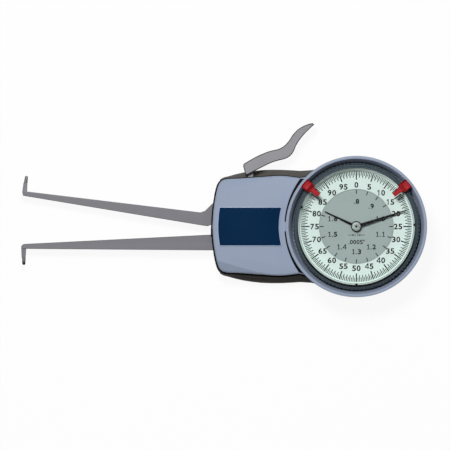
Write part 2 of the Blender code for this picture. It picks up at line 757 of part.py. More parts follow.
def front_housing(paint):
    """The front shell, with the collar that stands round the bezel."""
    outline = cover_outline()
    under, bottom = COVER_UNDER, SPLIT + GAP
    rings = (
        ring_at(inset(outline, COVER_ROUND), COVER_TOP),
        ring_at(inset(outline, COVER_ROUND / 4), COVER_TOP - COVER_ROUND / 4),
        ring_at(outline, COVER_TOP - COVER_ROUND),
        ring_at(outline, bottom),
        ring_at(inset(outline, WALL), bottom),
        ring_at(inset(outline, WALL), under - COVER_ROUND / 2),
        ring_at(inset(outline, WALL + COVER_ROUND / 2), under),
    )
    obj = loft("front_housing", rings, paint)
    for i, at in enumerate(case_screws()):
        height = under + COVER_SKIN / 2 - bottom
        join(obj, rod(f"front_boss_{i}", CASE_BOSS_RADIUS, bottom, height, None, at, SMALL))
        depth = CASE_SCREW_END + GAP - bottom + OVERRUN
        cut(obj, rod(f"front_pilot_{i}", CASE_SHANK_RADIUS + GAP, bottom - OVERRUN, depth, None, at, TINY))
    profile = (
        (SEAT_RADIUS - OVERRUN, COLLAR_TOP), (COLLAR_RADIUS - COLLAR_EDGE, COLLAR_TOP),
        (COLLAR_RADIUS, COLLAR_TOP - COLLAR_EDGE), (COLLAR_RADIUS, COLLAR_WAIST),
        (DRUM_RADIUS - WALL / 2, COLLAR_FOOT), (SEAT_RADIUS - OVERRUN, COLLAR_FOOT),
    )
    join(obj, turned("collar", profile, None, FINE, closed=True))
    slope = (COLLAR_MOUTH_RADIUS - COLLAR_BORE_RADIUS) / COLLAR_SLOPE
    above = COLLAR_TOP + OVERRUN
    mouth = (
        (0.0, above), (COLLAR_MOUTH_RADIUS + slope * OVERRUN, above),
        (COLLAR_BORE_RADIUS, COLLAR_TOP - COLLAR_SLOPE), (COLLAR_BORE_RADIUS, SEAT_TOP),
        (SEAT_RADIUS, SEAT_TOP), (SEAT_RADIUS, COLLAR_FOOT - OVERRUN), (0.0, COLLAR_FOOT - OVERRUN),
    )
    cut(obj, turned("mouth", mouth, None, FINE))
    return cut(obj, groove("front_groove", bottom - OVERRUN))


def groove(name, bottom):
    """The step round the inside of a shell's rim, where the gasket lies."""
    outer = inset(cover_outline(), GROOVE_WALL)
    loops = (outer, inset(outer, GASKET_WIDTH + 2 * GAP + OVERRUN))
    return plate(name, loops, bottom, GROOVE_DEPTH + OVERRUN, None)


def gasket(paint):
    """The seal in the joint between the shells."""
    outer = inset(cover_outline(), GROOVE_WALL + GAP)
    height = 2 * GROOVE_DEPTH - GAP
    bottom = SPLIT - GROOVE_DEPTH + GAP
    return plate("housing_gasket", (outer, inset(outer, GASKET_WIDTH)), bottom, height, paint)


def label(paint):
    """The bare plate on the cover, curved as the nose on one side and as the collar on the other."""
    half = LABEL_HALF_HEIGHT
    right = math.asin(half / LABEL_RIGHT_RADIUS)
    left = math.asin(half / LABEL_LEFT_RADIUS)
    centre = (LABEL_LEFT_RADIUS - LABEL_LEFT, 0.0)
    points = arc(centre, LABEL_LEFT_RADIUS, math.pi - left, math.pi + left, 8)
    points += arc((0.0, 0.0), LABEL_RIGHT_RADIUS, math.pi + right, math.pi - right, 10)
    return plate("label_plate", (points,), COVER_TOP + GAP, LABEL_THICKNESS, paint)


def case_screw(number, at, paint):
    """A housing screw, driven from behind: head in the rear shell, thread in the cover's boss."""
    top = CASE_HEAD_SINK + CASE_HEAD_HEIGHT
    profile = (
        (0.0, CASE_SCREW_END), (CASE_SHANK_RADIUS, CASE_SCREW_END), (CASE_SHANK_RADIUS, top),
        (CASE_HEAD_RADIUS, top), (CASE_HEAD_RADIUS, CASE_HEAD_SINK), (0.0, CASE_HEAD_SINK),
    )
    return turned(f"housing_screw_{number}", profile, paint, SMALL, None, (*at, 0.0))


def slot_liner(paint):
    """The rubber frame in the nose, round both arms and the movable one's swing."""
    low, high = SLOT_LOW + GAP, SLOT_HIGH - GAP
    bottom, top = SLOT_FLOOR + GAP, SPLIT - GROOVE_DEPTH - GAP
    outer = NOSE_REACH - GAP
    obj = block("arm_seal", (-outer, low, bottom), (-outer + SEAL_DEPTH, high, top), paint)
    inner_low = (-outer - OVERRUN, low + SEAL_WALL, bottom + SEAL_WALL)
    inner_high = (-outer + SEAL_DEPTH + OVERRUN, high - SEAL_WALL, top - SEAL_WALL)
    return cut(obj, block("arm_window", inner_low, inner_high))


def lever_liner(paint):
    """The rubber frame round the lever's neck."""
    bottom = LEVER_WEB_BOTTOM - LEVER_SEAL_WALL - GAP
    y = LEVER_AXIS.y + LEVER_BOSS_RADIUS + GAP
    low = (LEVER_SLOT_LEFT + GAP, y, bottom)
    top = SPLIT - GROOVE_DEPTH - GAP
    high = (LEVER_SLOT_RIGHT - GAP, y + LEVER_SEAL_DEPTH, top)
    obj = block("lever_seal", low, high, paint)
    inner_low = (low[0] + LEVER_SEAL_WALL, y - OVERRUN, bottom + LEVER_SEAL_WALL)
    inner_high = (high[0] - LEVER_SEAL_WALL, high[1] + OVERRUN, top - LEVER_SEAL_WALL)
    return cut(obj, block("lever_window", inner_low, inner_high))


def frame_plate(paint):
    """The plate that carries the arms, the lever and the gear train."""
    outline = inset(cover_outline(), WALL + 4 * GAP)
    holes = [
        circle(PIN_RADIUS + GAP, SMALL, ARM_AXIS.xy),
        circle(LEVER_PIN_RADIUS + GAP, TINY, LEVER_AXIS.xy),
        circle(CENTRE_BORE_RADIUS, TINY),
        circle(CENTRE_BORE_RADIUS, TINY, TRAIN_AXIS.xy),
        circle(SPRING_POST_RADIUS + GAP, TINY, spring_post()),
    ]
    holes += [circle(SMALL_SHANK_RADIUS + GAP, TINY, at) for at in plate_screws() + pillars()]
    holes += [circle(SMALL_SHANK_RADIUS + GAP, TINY, (x, FIXED_MIDDLE_Y)) for x in FIXED_SCREWS]
    holes += [circle(STOP_RADIUS + GAP, TINY, at) for at in stop_places()]
    obj = plate("frame_plate", [outline] + holes, PLATE_BOTTOM, PLATE_THICKNESS, paint)
    for i, at in enumerate(case_screws()):
        cut(obj, rod(f"plate_relief_{i}", CASE_BOSS_RADIUS + GAP, 0.0, SPLIT, None, at, SMALL))
    nose, end = -NOSE_REACH - OVERRUN, -NOSE_REACH + SEAL_DEPTH + WALL
    return cut(obj, block("plate_nose", (nose, -HALF_HEIGHT, 0.0), (end, HALF_HEIGHT, SPLIT)))


def bridge_plate(paint):
    """The upper plate of the movement, on three pillars."""
    feet = [(at, DIAL_FOOT_RADIUS + 3 * GAP) for at in dial_feet()]
    outline = hull_of_circles([(at, BRIDGE_MARGIN) for at in pillars()] + feet, ROUND)
    holes = [
        circle(SLEEVE_BORE_RADIUS + GAP, SMALL),
        circle(SLEEVE_BORE_RADIUS + GAP, SMALL, TRAIN_AXIS.xy),
        circle(ARBOUR_RADIUS + GAP, TINY, MOTION_AXIS.xy),
    ]
    holes += [circle(SMALL_SHANK_RADIUS + GAP, TINY, at) for at in pillars()]
    holes += [circle(DIAL_FOOT_RADIUS + GAP, TINY, at) for at in dial_feet()]
    obj = plate("bridge_plate", [outline] + holes, BRIDGE_BOTTOM, BRIDGE_THICKNESS, paint)
    stud = turn((HAIR_OUTER_RADIUS + 3 * GAP, 0.0), LINE_TO_CENTRE + math.pi)
    height = HOUR_TOP + HAIR_HEIGHT + HAIR_WIRE * 2 - BRIDGE_BOTTOM - GAP
    return join(obj, rod("hairspring_stud", ARBOUR_RADIUS, BRIDGE_BOTTOM + GAP, height, None, stud, TINY))


def fan_middle():
    """The direction of the fan's middle from the arm's axis, as the arm rests."""
    return ARM_REST_ANGLE + FAN_MIDDLE


def arm_travel():
    return math.tau * (READING - ZERO_READING) / READING_PER_MAIN_TURN / MAIN_TURNS_PER_ARM_TURN


def stop_places():
    """Two pins that the fan's outer spokes meet at the ends of the arm's travel."""
    spoke = FAN_HUB_RADIUS * (1.0 - STOP_REACH / ARM_GEAR_RADIUS)
    aside = FAN_HALF_SPAN + (spoke + STOP_RADIUS + GAP) / STOP_REACH
    low = turn((STOP_REACH, 0.0), fan_middle() - aside)
    high = turn((STOP_REACH, 0.0), fan_middle() + arm_travel() + aside)
    return [(ARM_AXIS.x + x, ARM_AXIS.y + y) for x, y in (low, high)]


def dial_feet():
    return [polar(DISC_RADIUS - DIAL_FOOT_INSET, math.radians(angle)) for angle in (100.0, 250.0)]


def finger(tip_x, tip_y, outer_y, side):
    """The bent end of an arm, from the outer edge to the seat of the contact; side is 1 for up."""
    seat = tip_y - side * (CONTACT_LENGTH + GAP)
    base, end = FINGER_BASE_WIDTH / 2, FINGER_END_WIDTH / 2
    return (tip_x + base, outer_y), (tip_x + end, seat), (tip_x - end, seat), (tip_x - base, outer_y)


def thin_towards_tip(mesh, root_x, tip_x):
    """An arm loses thickness from where it leaves the housing to its tip."""
    bm = bmesh.new()
    bm.from_mesh(mesh)
    everything = bm.verts[:] + bm.edges[:] + bm.faces[:]
    bmesh.ops.bisect_plane(bm, geom=everything, plane_co=(root_x, 0.0, 0.0), plane_no=(1.0, 0.0, 0.0))
    for vert in bm.verts:
        along = min(max((vert.co.x - root_x) / (tip_x - root_x), 0.0), 1.0)
        vert.co.z *= 1.0 - (1.0 - ARM_TIP_THICKNESS_SHARE) * along
    bm.to_mesh(mesh)
    bm.free()


def movable_arm(paint, parent):
    """The swinging arm: contact finger, blade, flared root, boss with the lever's notch, and tail."""
    outer, tip_x = -ARM_OUTER_DROP, -ARM_REACH
    right, end_right, end_left, left = finger(tip_x, CONTACT_RISE, outer, 1.0)
    inner_tip, inner_root = outer - ARM_TIP_DEPTH, outer - ARM_ROOT_DEPTH
    elbow = (left[0] + ELBOW_RADIUS, inner_tip + ELBOW_RADIUS)
    points = arc(elbow, ELBOW_RADIUS, math.pi, 1.5 * math.pi, 4)
    points += [(-ARM_ROOT_REACH, inner_root), (-FLARE_REACH, inner_root)]
    points += arc((0.0, 0.0), BOSS_RADIUS, math.radians(-115.0), math.radians(-35.0), 6)
    tail = (TAIL_REACH - TAIL_HALF_WIDTH, 0.0)
    points += arc(tail, TAIL_HALF_WIDTH, -math.pi / 2, math.pi / 2, 8)
    points += arc((0.0, 0.0), BOSS_RADIUS, math.radians(35.0), math.radians(135.0), 10)
    flare = ARM_ROOT_REACH + ELBOW_RADIUS
    points += [(-FLARE_REACH, outer + BOSS_RADIUS - ELBOW_RADIUS / 4)]
    points += [(-flare, outer + ELBOW_RADIUS / 2), (-flare - ELBOW_RADIUS, outer)]
    points += [right, end_right, end_left, left]
    hole = circle(PIN_RADIUS + GAP, SMALL)
    screws = [circle(SMALL_SHANK_RADIUS + GAP, TINY, at) for at in fan_screws()]
    obj = plate("movable_arm", [points, hole] + screws, ARM_BOTTOM, ARM_THICKNESS, paint, parent)
    thin_towards_tip(obj.data, -ARM_ROOT_REACH - ELBOW_RADIUS * 2, tip_x)
    toward = LEVER_AXIS - ARM_AXIS
    angle = math.atan2(toward.y, toward.x) - ARM_REST_ANGLE
    depth = NOTCH_REACH - LEVER_FINGER_RADIUS - GAP
    half = LEVER_FINGER_RADIUS + SLIDE
    notch = block("notch", (depth, -half, 0.0), (BOSS_RADIUS + OVERRUN, half, COVER_TOP))
    notch.location = Matrix.Rotation(angle, 3, "Z") @ notch.location
    notch.rotation_euler.z = angle
    notch.parent = parent
    return cut(obj, notch)


def fan_screws():
    return [turn((FAN_SCREW_REACH, side * FAN_SCREW_SPREAD), FAN_MIDDLE) for side in (-1.0, 1.0)]


def fixed_arm(paint):
    """The still arm, screwed to the frame plate."""
    outer, tip_x = FIXED_OUTER_Y, FIXED_CONTACT_X
    right, end_right, end_left, left = finger(tip_x, FIXED_CONTACT_Y, outer, -1.0)
    inner_tip, inner_root = outer + FIXED_TIP_DEPTH, outer + FIXED_ROOT_DEPTH
    elbow = (left[0] + ELBOW_RADIUS, inner_tip - ELBOW_RADIUS)
    points = [(FIXED_END_X, outer), (FIXED_END_X, inner_root), (-NOSE_REACH, inner_root)]
    points += arc(elbow, ELBOW_RADIUS, math.pi / 2, math.pi, 4)
    points += [left, end_left, end_right, right]
    screws = [circle(SMALL_SHANK_RADIUS + GAP, TINY, (x - FIXED_END_X, 0.0)) for x in FIXED_SCREWS]
    origin = Vector((FIXED_END_X, FIXED_MIDDLE_Y))
    moved = [tuple(Vector(point) - origin) for point in points]
    obj = plate("fixed_arm", [moved[::-1]] + screws, ARM_BOTTOM, ARM_THICKNESS, paint, None, origin)
    thin_towards_tip(obj.data, -FIXED_LENGTH_INSIDE - OVERRUN, tip_x - FIXED_END_X)
    return obj


def contact(name, tip, side, paint, parent=None):
    """A hard round-ended pin that stands on a finger; side is 1 for up."""
    length = CONTACT_LENGTH - CONTACT_RADIUS
    dome = arc((0.0, length), CONTACT_RADIUS, math.pi / 2, 0.0, 3)
    dome[0] = (0.0, CONTACT_LENGTH)
    obj = turned(name, dome + [(CONTACT_RADIUS, 0.0), (0.0, 0.0)], paint, SMALL, parent)
    obj.location = (tip[0], tip[1] - side * CONTACT_LENGTH, ARM_MIDDLE)
    obj.rotation_euler.x = -side * math.pi / 2
    return obj


def lever_point(share):
    """A share of the lever's span and rise, seen from the lever's axis."""
    return (share[0] * LEVER_SPAN - LEVER_LEFT, share[1] * LEVER_RISE + LEVER_BASE)


def lever(paint, parent):
    """The hand lever: curved paddle, neck, boss and the finger that drives the arm."""
    top = smooth([lever_point(share) for share in LEVER_TOP_SHARES], 2)
    low = smooth([lever_point(share) for share in LEVER_LOW_SHARES], 2)
    obj = plate("lever", (low + top,), LEVER_BOTTOM, LEVER_THICKNESS, paint, parent)
    bevel(obj, LEVER_EDGE)
    neck, aside = LEVER_NECK_WIDTH / 2, LEVER_NECK_ASIDE
    reach = (LEVER_AXIS - ARM_AXIS).length - NOTCH_REACH
    back = math.atan2(ARM_AXIS.y - LEVER_AXIS.y, ARM_AXIS.x - LEVER_AXIS.x)
    tip = turn((reach, 0.0), back)
    side = turn((0.0, LEVER_FINGER_RADIUS), back)
    thick, base = LEVER_WEB_THICKNESS, LEVER_WEB_BOTTOM
    height = LEVER_BASE + LEVER_THICKNESS / 2
    neck_loop = ((-aside + neck, 0.0), (-aside + neck, height), (-aside - neck, height), (-aside - neck, 0.0))
    join(obj, plate("lever_neck", (neck_loop,), base, thick, None, parent))
    join(obj, rod("lever_boss", LEVER_BOSS_RADIUS, base, thick, None, (0.0, 0.0), ROUND, parent))
    far, near = (side[0] + tip[0], side[1] + tip[1]), (tip[0] - side[0], tip[1] - side[1])
    web = (far, side, (-side[0], -side[1]), near)
    join(obj, plate("lever_web", (web,), base, thick, None, parent))
    join(obj, rod("lever_finger", LEVER_FINGER_RADIUS, base, thick, None, tip, SMALL, parent))
    bore = rod("lever_bore", LEVER_PIN_RADIUS + GAP, 0.0, COVER_TOP, None, (0.0, 0.0), SMALL, parent)
    return cut(obj, bore)


def sector_gear(paint, parent):
    """The toothed fan on the arm: hub, two spokes and a rim."""
    pitch = math.tau / FAN_TEETH
    phase = LINE_TO_TRAIN - ARM_REST_ANGLE
    low, high = FAN_MIDDLE - FAN_HALF_SPAN, FAN_MIDDLE + FAN_HALF_SPAN
    numbers = range(math.ceil((low - phase) / pitch + 0.5), math.floor((high - phase) / pitch - 0.5) + 1)
    root = (FAN_TEETH / 2 - DEDENDUM_SHARE) * FAN_MODULE
    points = [turn((root, 0.0), low)] + gear_teeth(FAN_TEETH, FAN_MODULE, phase, numbers)
    points += [turn((root, 0.0), high)]
    points += arc((0.0, 0.0), FAN_HUB_RADIUS, high + math.pi / 2, low + 1.5 * math.pi, 14)
    rim, start = root - FAN_RIM, 3 * FAN_HUB_RADIUS
    slim_out, slim_in = 2 * SPOKE_SIDE / rim, 2 * SPOKE_SIDE / start
    window = arc((0.0, 0.0), rim, low + slim_out, high - slim_out, 6)
    window += [turn((start, 0.0), high - slim_in / 2), turn((start, 0.0), low + slim_in / 2)]
    holes = [circle(PIN_RADIUS + GAP, SMALL)]
    holes += [circle(SMALL_SHANK_RADIUS + GAP, TINY, at) for at in fan_screws()]
    return plate("sector_gear", [points, window] + holes, SECTOR_BOTTOM, SECTOR_THICKNESS, paint, parent)


def intermediate(steel, brass, parent):
    """The arbour with the pinion that the fan drives, and the large wheel on it."""
    phase = meshed(LINE_TO_TRAIN, FAN_PINION_TEETH)
    outline = gear_outline(FAN_PINION_TEETH, FAN_MODULE, phase)
    arbour = plate("intermediate_arbour", (outline,), SECTOR_BOTTOM, SECTOR_THICKNESS, steel, parent)
    bottom, top = PLATE_BOTTOM + GAP, BRIDGE_TOP - GAP
    join(arbour, rod("arbour_staff", ARBOUR_RADIUS, bottom, top - bottom, None, (0.0, 0.0), TINY, parent))
    line = math.atan2(-TRAIN_AXIS.y, -TRAIN_AXIS.x)
    rim = TRAIN_TEETH * TRAIN_MODULE / 2 - 3 * DEDENDUM_SHARE * FAN_MODULE
    holes = [circle(CENTRE_BORE_RADIUS, TINY)]
    spokes = 4
    hub, side = 3 * SLEEVE_BORE_RADIUS, SPOKE_SIDE / 2
    for i in range(spokes):
        low = i * math.tau / spokes
        high = low + math.tau / spokes
        window = arc((0.0, 0.0), rim, low + side / rim, high - side / rim, 6)
        window += arc((0.0, 0.0), hub, high - side / hub, low + side / hub, 3)
        holes.append(window)
    outline = gear_outline(TRAIN_TEETH, TRAIN_MODULE, line, pointed=True)
    plate("intermediate_wheel", [outline] + holes, WHEEL_BOTTOM, WHEEL_THICKNESS, brass, parent)


def centre_train(steel, brass, parent):
    """The centre arbour, with its pinion below the bridge and the cannon pinion above it."""
    line = math.atan2(-TRAIN_AXIS.y, -TRAIN_AXIS.x)
    pinion = gear_outline(CENTRE_TEETH, TRAIN_MODULE, meshed(line, CENTRE_TEETH) - MAIN_ANGLE)
    obj = plate("centre_arbour", (pinion,), WHEEL_BOTTOM - GAP, WHEEL_THICKNESS + 2 * GAP, steel, parent)
    bottom, top = PLATE_BOTTOM + GAP, MAIN_POINTER_BOTTOM + POINTER_THICKNESS + CAP_HEIGHT / 2
    join(obj, rod("centre_staff", ARBOUR_RADIUS, bottom, top - bottom, None, (0.0, 0.0), TINY, parent))
    cannon = gear_outline(CANNON_TEETH, MOTION_MODULE, LINE_TO_CENTRE - MAIN_ANGLE)
    join(obj, plate("cannon_pinion", (cannon,), MOTION_BOTTOM, WHEEL_THICKNESS + GAP, None, parent))
    return obj


def motion_wheel(brass, parent):
    """The idler of the motion work: a wheel with its pinion."""
    outline = gear_outline(MINUTE_TEETH, MOTION_MODULE, meshed(LINE_TO_CENTRE, MINUTE_TEETH))
    bore = circle(CENTRE_BORE_RADIUS, TINY)
    obj = plate("motion_wheel", (outline, bore), MOTION_BOTTOM, WHEEL_THICKNESS, brass, parent)
    outline = gear_outline(HOUR_PINION_TEETH, HOUR_MODULE, LINE_TO_CENTRE + math.pi)
    height = HOUR_TOP - MOTION_BOTTOM - WHEEL_THICKNESS / 2
    bottom = MOTION_BOTTOM + WHEEL_THICKNESS / 2
    pinion = plate("motion_pinion", (outline, bore), bottom, height, None, parent)
    return join(obj, pinion)


def hour_wheel(brass, parent):
    """The wheel that carries the small pointer on a sleeve round the centre arbour."""
    phase = meshed(LINE_TO_CENTRE + math.pi, HOUR_TEETH) - SMALL_ANGLE
    outline = gear_outline(HOUR_TEETH, HOUR_MODULE, phase)
    bore = circle(SLEEVE_BORE_RADIUS, SMALL)
    obj = plate("hour_wheel", (outline, bore), HOUR_BOTTOM, WHEEL_THICKNESS, brass, parent)
    bottom, top = HOUR_BOTTOM + WHEEL_THICKNESS / 2, SMALL_POINTER_BOTTOM + POINTER_THICKNESS
    profile = (
        (SLEEVE_BORE_RADIUS, top), (SLEEVE_RADIUS, top),
        (SLEEVE_RADIUS, bottom), (SLEEVE_BORE_RADIUS, bottom),
    )
    return join(obj, turned("hour_sleeve", profile, None, SMALL, parent, closed=True))


def pointer(name, reach, hub, bore, bottom, paint, parent):
    """A tapering hand with a round hub; it points along +X of its axis."""
    half, tip = POINTER_WIDTH / 2, POINTER_TIP_WIDTH / 2
    open_angle = math.asin(half / hub)
    points = [(reach, -tip), (reach + tip, 0.0), (reach, tip)]
    points += arc((0.0, 0.0), hub, open_angle, math.tau - open_angle, ROUND)
    return plate(name, (points, circle(bore, SMALL)), bottom, POINTER_THICKNESS, paint, parent)


def bezel(paint, parent):
    """The turning ring: a ridged crown on a skirt with a lip that holds the dial ring."""
    skirt = BEZEL_RADIUS - RIDGE_DEPTH
    low, high = BEZEL_BOTTOM, BEZEL_TOP - BEZEL_CHAMFER
    lip, groove = low + BEZEL_LIP, BEZEL_RADIUS - RIDGE_DEPTH - RING_GROOVE
    ring = low + RING_RISE
    ring_low, ring_high = ring - RING_WIRE - GAP, ring + RING_WIRE + GAP
    profile = (
        (BEZEL_BORE_RADIUS, BEZEL_TOP), (skirt - BEZEL_CHAMFER, BEZEL_TOP), (skirt, high),
        (skirt, ring_high), (groove, ring_high), (groove, ring_low), (skirt, ring_low), (skirt, low),
        (BEZEL_LIP_RADIUS, low), (BEZEL_LIP_RADIUS, lip), (BEZEL_BORE_RADIUS, lip),
    )
    obj = turned("bezel", profile, paint, FINE, parent, closed=True)
    ridges = []
    for i in range(RIDGES):
        ridges.append(turn((BEZEL_RADIUS, 0.0), i * math.tau / RIDGES))
        ridges.append(turn((skirt - GAP, 0.0), (i + 0.5) * math.tau / RIDGES))
    bottom = high - CROWN_HEIGHT
    crown = plate("crown", (ridges, circle(skirt - RIDGE_DEPTH, FINE)), bottom, CROWN_HEIGHT, None, parent)
    return join(obj, crown)


def marker(name, angle, paint, parent):
    """A tolerance marker: block on the bezel, blade over the crystal, leg in the groove outside."""
    empty = axis(name + "_axis", (0.0, 0.0, 0.0), angle + math.pi / 2)
    empty.parent = parent
    half, neck, tip = MARKER_WIDTH / 2, MARKER_NECK_WIDTH / 2, MARKER_TIP_WIDTH / 2
    step, outer, inner = MARKER_STEP_RADIUS, MARKER_OUTER_RADIUS, MARKER_INNER_RADIUS
    head = ((step, -half), (outer, -half), (outer, half), (step, half))
    obj = plate(name, (head,), MARKER_BOTTOM, MARKER_BLOCK, paint, empty)
    blade = ((inner, 0.0), (inner + tip, -tip), (step + GAP, -neck), (step + GAP, neck), (inner + tip, tip))
    join(obj, plate(name + "_blade", (blade,), MARKER_BOTTOM, MARKER_BLADE, None, empty))
    bottom = MARKER_BOTTOM - MARKER_LEG_DEPTH
    end = outer - 2 * GAP
    foot = ((MARKER_LEG_RADIUS, -neck), (end, -neck), (end, neck), (MARKER_LEG_RADIUS, neck))
    return join(obj, plate(name + "_leg", (foot,), bottom, MARKER_LEG_DEPTH + MARKER_BLADE, None, empty))


def return_spring(paint):
    """The coil that pulls the arm open, from a post on the frame to the arm's tail."""
    lug = turn((SPRING_LUG_REACH, -TAIL_HALF_WIDTH - SPRING_WIRE - GAP), ARM_REST_ANGLE)
    start = Vector((*spring_post(), 0.0))
    end = Vector((ARM_AXIS.x + lug[0], ARM_AXIS.y + lug[1], 0.0))
    along = (end - start).normalized()
    start += along * (SPRING_POST_RADIUS + GAP + SPRING_WIRE)
    across = Vector((-along.y, along.x, 0.0))
    length = (end - start).length
    straight = SPRING_RADIUS
    points = [start]
    steps = 8 * SPRING_TURNS
    for i in range(steps + 1):
        angle = math.tau * SPRING_TURNS * i / steps
        spot = start + along * (straight + (length - 2 * straight) * i / steps)
        spot += across * SPRING_RADIUS * math.cos(angle)
        points.append(spot + Vector((0.0, 0.0, SPRING_RADIUS * math.sin(angle))))
    points.append(end)
    obj = wire("return_spring", points, SPRING_WIRE, paint)
    obj.location.z = ARM_MIDDLE
    return obj


def hairspring(paint):
    """The flat spiral that takes up the play of the train."""
    stud = LINE_TO_CENTRE + math.pi
    steps = 10 * HAIR_TURNS
    points = []
    for i in range(steps + 1):
        share = i / steps
        radius = HAIR_INNER_RADIUS + (HAIR_OUTER_RADIUS - HAIR_INNER_RADIUS) * share
        points.append((*turn((radius, 0.0), stud + math.tau * HAIR_TURNS * share), 0.0))
    obj = wire("hairspring", points, HAIR_WIRE, paint)
    obj.location.z = HOUR_TOP + HAIR_HEIGHT
    return obj


def bushing(name, at, paint):
    """A bearing ring pressed into the bridge."""
    outer, inner = SLEEVE_BORE_RADIUS, CENTRE_BORE_RADIUS
    profile = (
        (inner, BRIDGE_TOP), (outer, BRIDGE_TOP), (outer, BRIDGE_BOTTOM), (inner, BRIDGE_BOTTOM),
    )
    return turned(name, profile, paint, SMALL, None, (*at, 0.0), closed=True)


def housing(paints):
    rear_housing(paints["grip"])
    front_housing(paints["cover"])
    gasket(paints["rubber"])
    label(paints["label"])
    slot_liner(paints["rubber"])
    lever_liner(paints["rubber"])
    for number, at in enumerate(case_screws(), 1):
        case_screw(number, at, paints["steel"])
    for number, at in enumerate(plate_screws(), 1):
        bottom, head = FLOOR / 2 + GAP, PLATE_TOP + GAP
        screw(f"frame_screw_{number}", at, bottom, head, SMALL_HEAD_RADIUS, paints["steel"])


def movement(paints):
    frame_plate(paints["brass"])
    bridge_plate(paints["brass"])
    for number, at in enumerate(pillars(), 1):
        bottom, top = PLATE_TOP + GAP, BRIDGE_BOTTOM - GAP
        profile = (
            (SMALL_SHANK_RADIUS + GAP, top), (PILLAR_RADIUS, top), (PILLAR_RADIUS, bottom),
            (SMALL_SHANK_RADIUS, bottom), (SMALL_SHANK_RADIUS, PLATE_BOTTOM), (0.0, PLATE_BOTTOM),
            (0.0, ARM_TOP), (SMALL_SHANK_RADIUS + GAP, ARM_TOP),
        )
        turned(f"pillar_{number}", profile, paints["steel"], SMALL, None, (*at, 0.0), closed=True)
        bottom, head = ARM_TOP + GAP, BRIDGE_TOP + GAP
        screw(f"bridge_screw_{number}", at, bottom, head, SMALL_HEAD_RADIUS, paints["steel"])
    for name, at in zip(("stop_pin_open", "stop_pin_closed"), stop_places()):
        rod(name, STOP_RADIUS, PLATE_BOTTOM, SECTOR_TOP - PLATE_BOTTOM, paints["steel"], at, TINY)
    post = ARM_TOP - PLATE_BOTTOM
    rod("spring_post", SPRING_POST_RADIUS, PLATE_BOTTOM, post, paints["steel"], spring_post(), TINY)
    return_spring(paints["steel"])
    bushing("centre_bush", (0.0, 0.0), paints["ruby"])
    bushing("intermediate_bush", TRAIN_AXIS.xy, paints["ruby"])


def arms(paints):
    fixed_arm(paints["arm"])
    contact("fixed_contact", (FIXED_CONTACT_X, FIXED_CONTACT_Y), -1.0, paints["carbide"])
    for number, x in enumerate(FIXED_SCREWS, 1):
        at = (x, FIXED_MIDDLE_Y)
        head = ARM_TOP + GAP
        screw(f"fixed_arm_screw_{number}", at, PLATE_BOTTOM, head, SMALL_HEAD_RADIUS, paints["steel"])
    swing = axis("arm_axis", ARM_AXIS, ARM_REST_ANGLE)
    movable_arm(paints["arm"], swing)
    contact("movable_contact", (-ARM_REACH, CONTACT_RISE), 1.0, paints["carbide"], swing)
    sector_gear(paints["brass"], swing)
    for number, at in enumerate(fan_screws(), 1):
        head = SMALL_HEAD_RADIUS - GAP / 2
        screw(f"sector_screw_{number}", at, ARM_BOTTOM, SECTOR_TOP + GAP, head, paints["steel"], swing)
    head = SECTOR_TOP + GAP
    profile = (
        (0.0, head + CAP_HEIGHT), (PIN_RADIUS + PIN_HEAD, head + CAP_HEIGHT), (PIN_RADIUS + PIN_HEAD, head),
        (PIN_RADIUS, head), (PIN_RADIUS, PLATE_BOTTOM), (0.0, PLATE_BOTTOM),
    )
    turned("arm_pivot_pin", profile, paints["steel"], SMALL, None, ARM_AXIS)


def hand_lever(paints):
    swing = axis("lever_axis", LEVER_AXIS)
    lever(paints["lever"], swing)
    head = LEVER_WEB_BOTTOM + LEVER_WEB_THICKNESS + GAP
    profile = (
        (0.0, head + CAP_HEIGHT), (LEVER_PIN_RADIUS + LEVER_PIN_HEAD, head + CAP_HEIGHT),
        (LEVER_PIN_RADIUS + LEVER_PIN_HEAD, head),
        (LEVER_PIN_RADIUS, head), (LEVER_PIN_RADIUS, PLATE_BOTTOM), (0.0, PLATE_BOTTOM),
    )
    turned("lever_pivot_pin", profile, paints["steel"], SMALL, None, LEVER_AXIS)


def train(paints):
    intermediate(paints["steel"], paints["brass"], axis("train_axis", TRAIN_AXIS))
    main = axis("main_axis", (0.0, 0.0, 0.0), MAIN_ANGLE)
    small = axis("small_axis", (0.0, 0.0, 0.0), SMALL_ANGLE)
    centre_train(paints["steel"], paints["brass"], main)
    motion_wheel(paints["brass"], axis("motion_axis", MOTION_AXIS))
    hour_wheel(paints["brass"], small)
    stud_top = HOUR_TOP + GAP
    profile = (
        (0.0, stud_top + GAP), (ARBOUR_RADIUS, stud_top + GAP),
        (ARBOUR_RADIUS, BRIDGE_BOTTOM), (0.0, BRIDGE_BOTTOM),
    )
    turned("motion_stud", profile, paints["steel"], TINY, None, MOTION_AXIS)
    hairspring(paints["spring"])
    pointer(
        "small_pointer", SMALL_POINTER_REACH, SMALL_HUB_RADIUS, SLEEVE_RADIUS + GAP,
        SMALL_POINTER_BOTTOM, paints["pointer"], small,
    )
    pointer(
        "main_pointer", MAIN_POINTER_REACH, POINTER_HUB_RADIUS, ARBOUR_RADIUS + GAP,
        MAIN_POINTER_BOTTOM, paints["pointer"], main,
    )
    bottom = MAIN_POINTER_BOTTOM + POINTER_THICKNESS + GAP
    bore = ARBOUR_RADIUS + GAP
    profile = (
        (bore, bottom + CAP_HEIGHT), (CAP_RADIUS, bottom + CAP_HEIGHT), (CAP_RADIUS, bottom), (bore, bottom),
    )
    turned("pointer_cap", profile, paints["steel"], SMALL, main, closed=True)


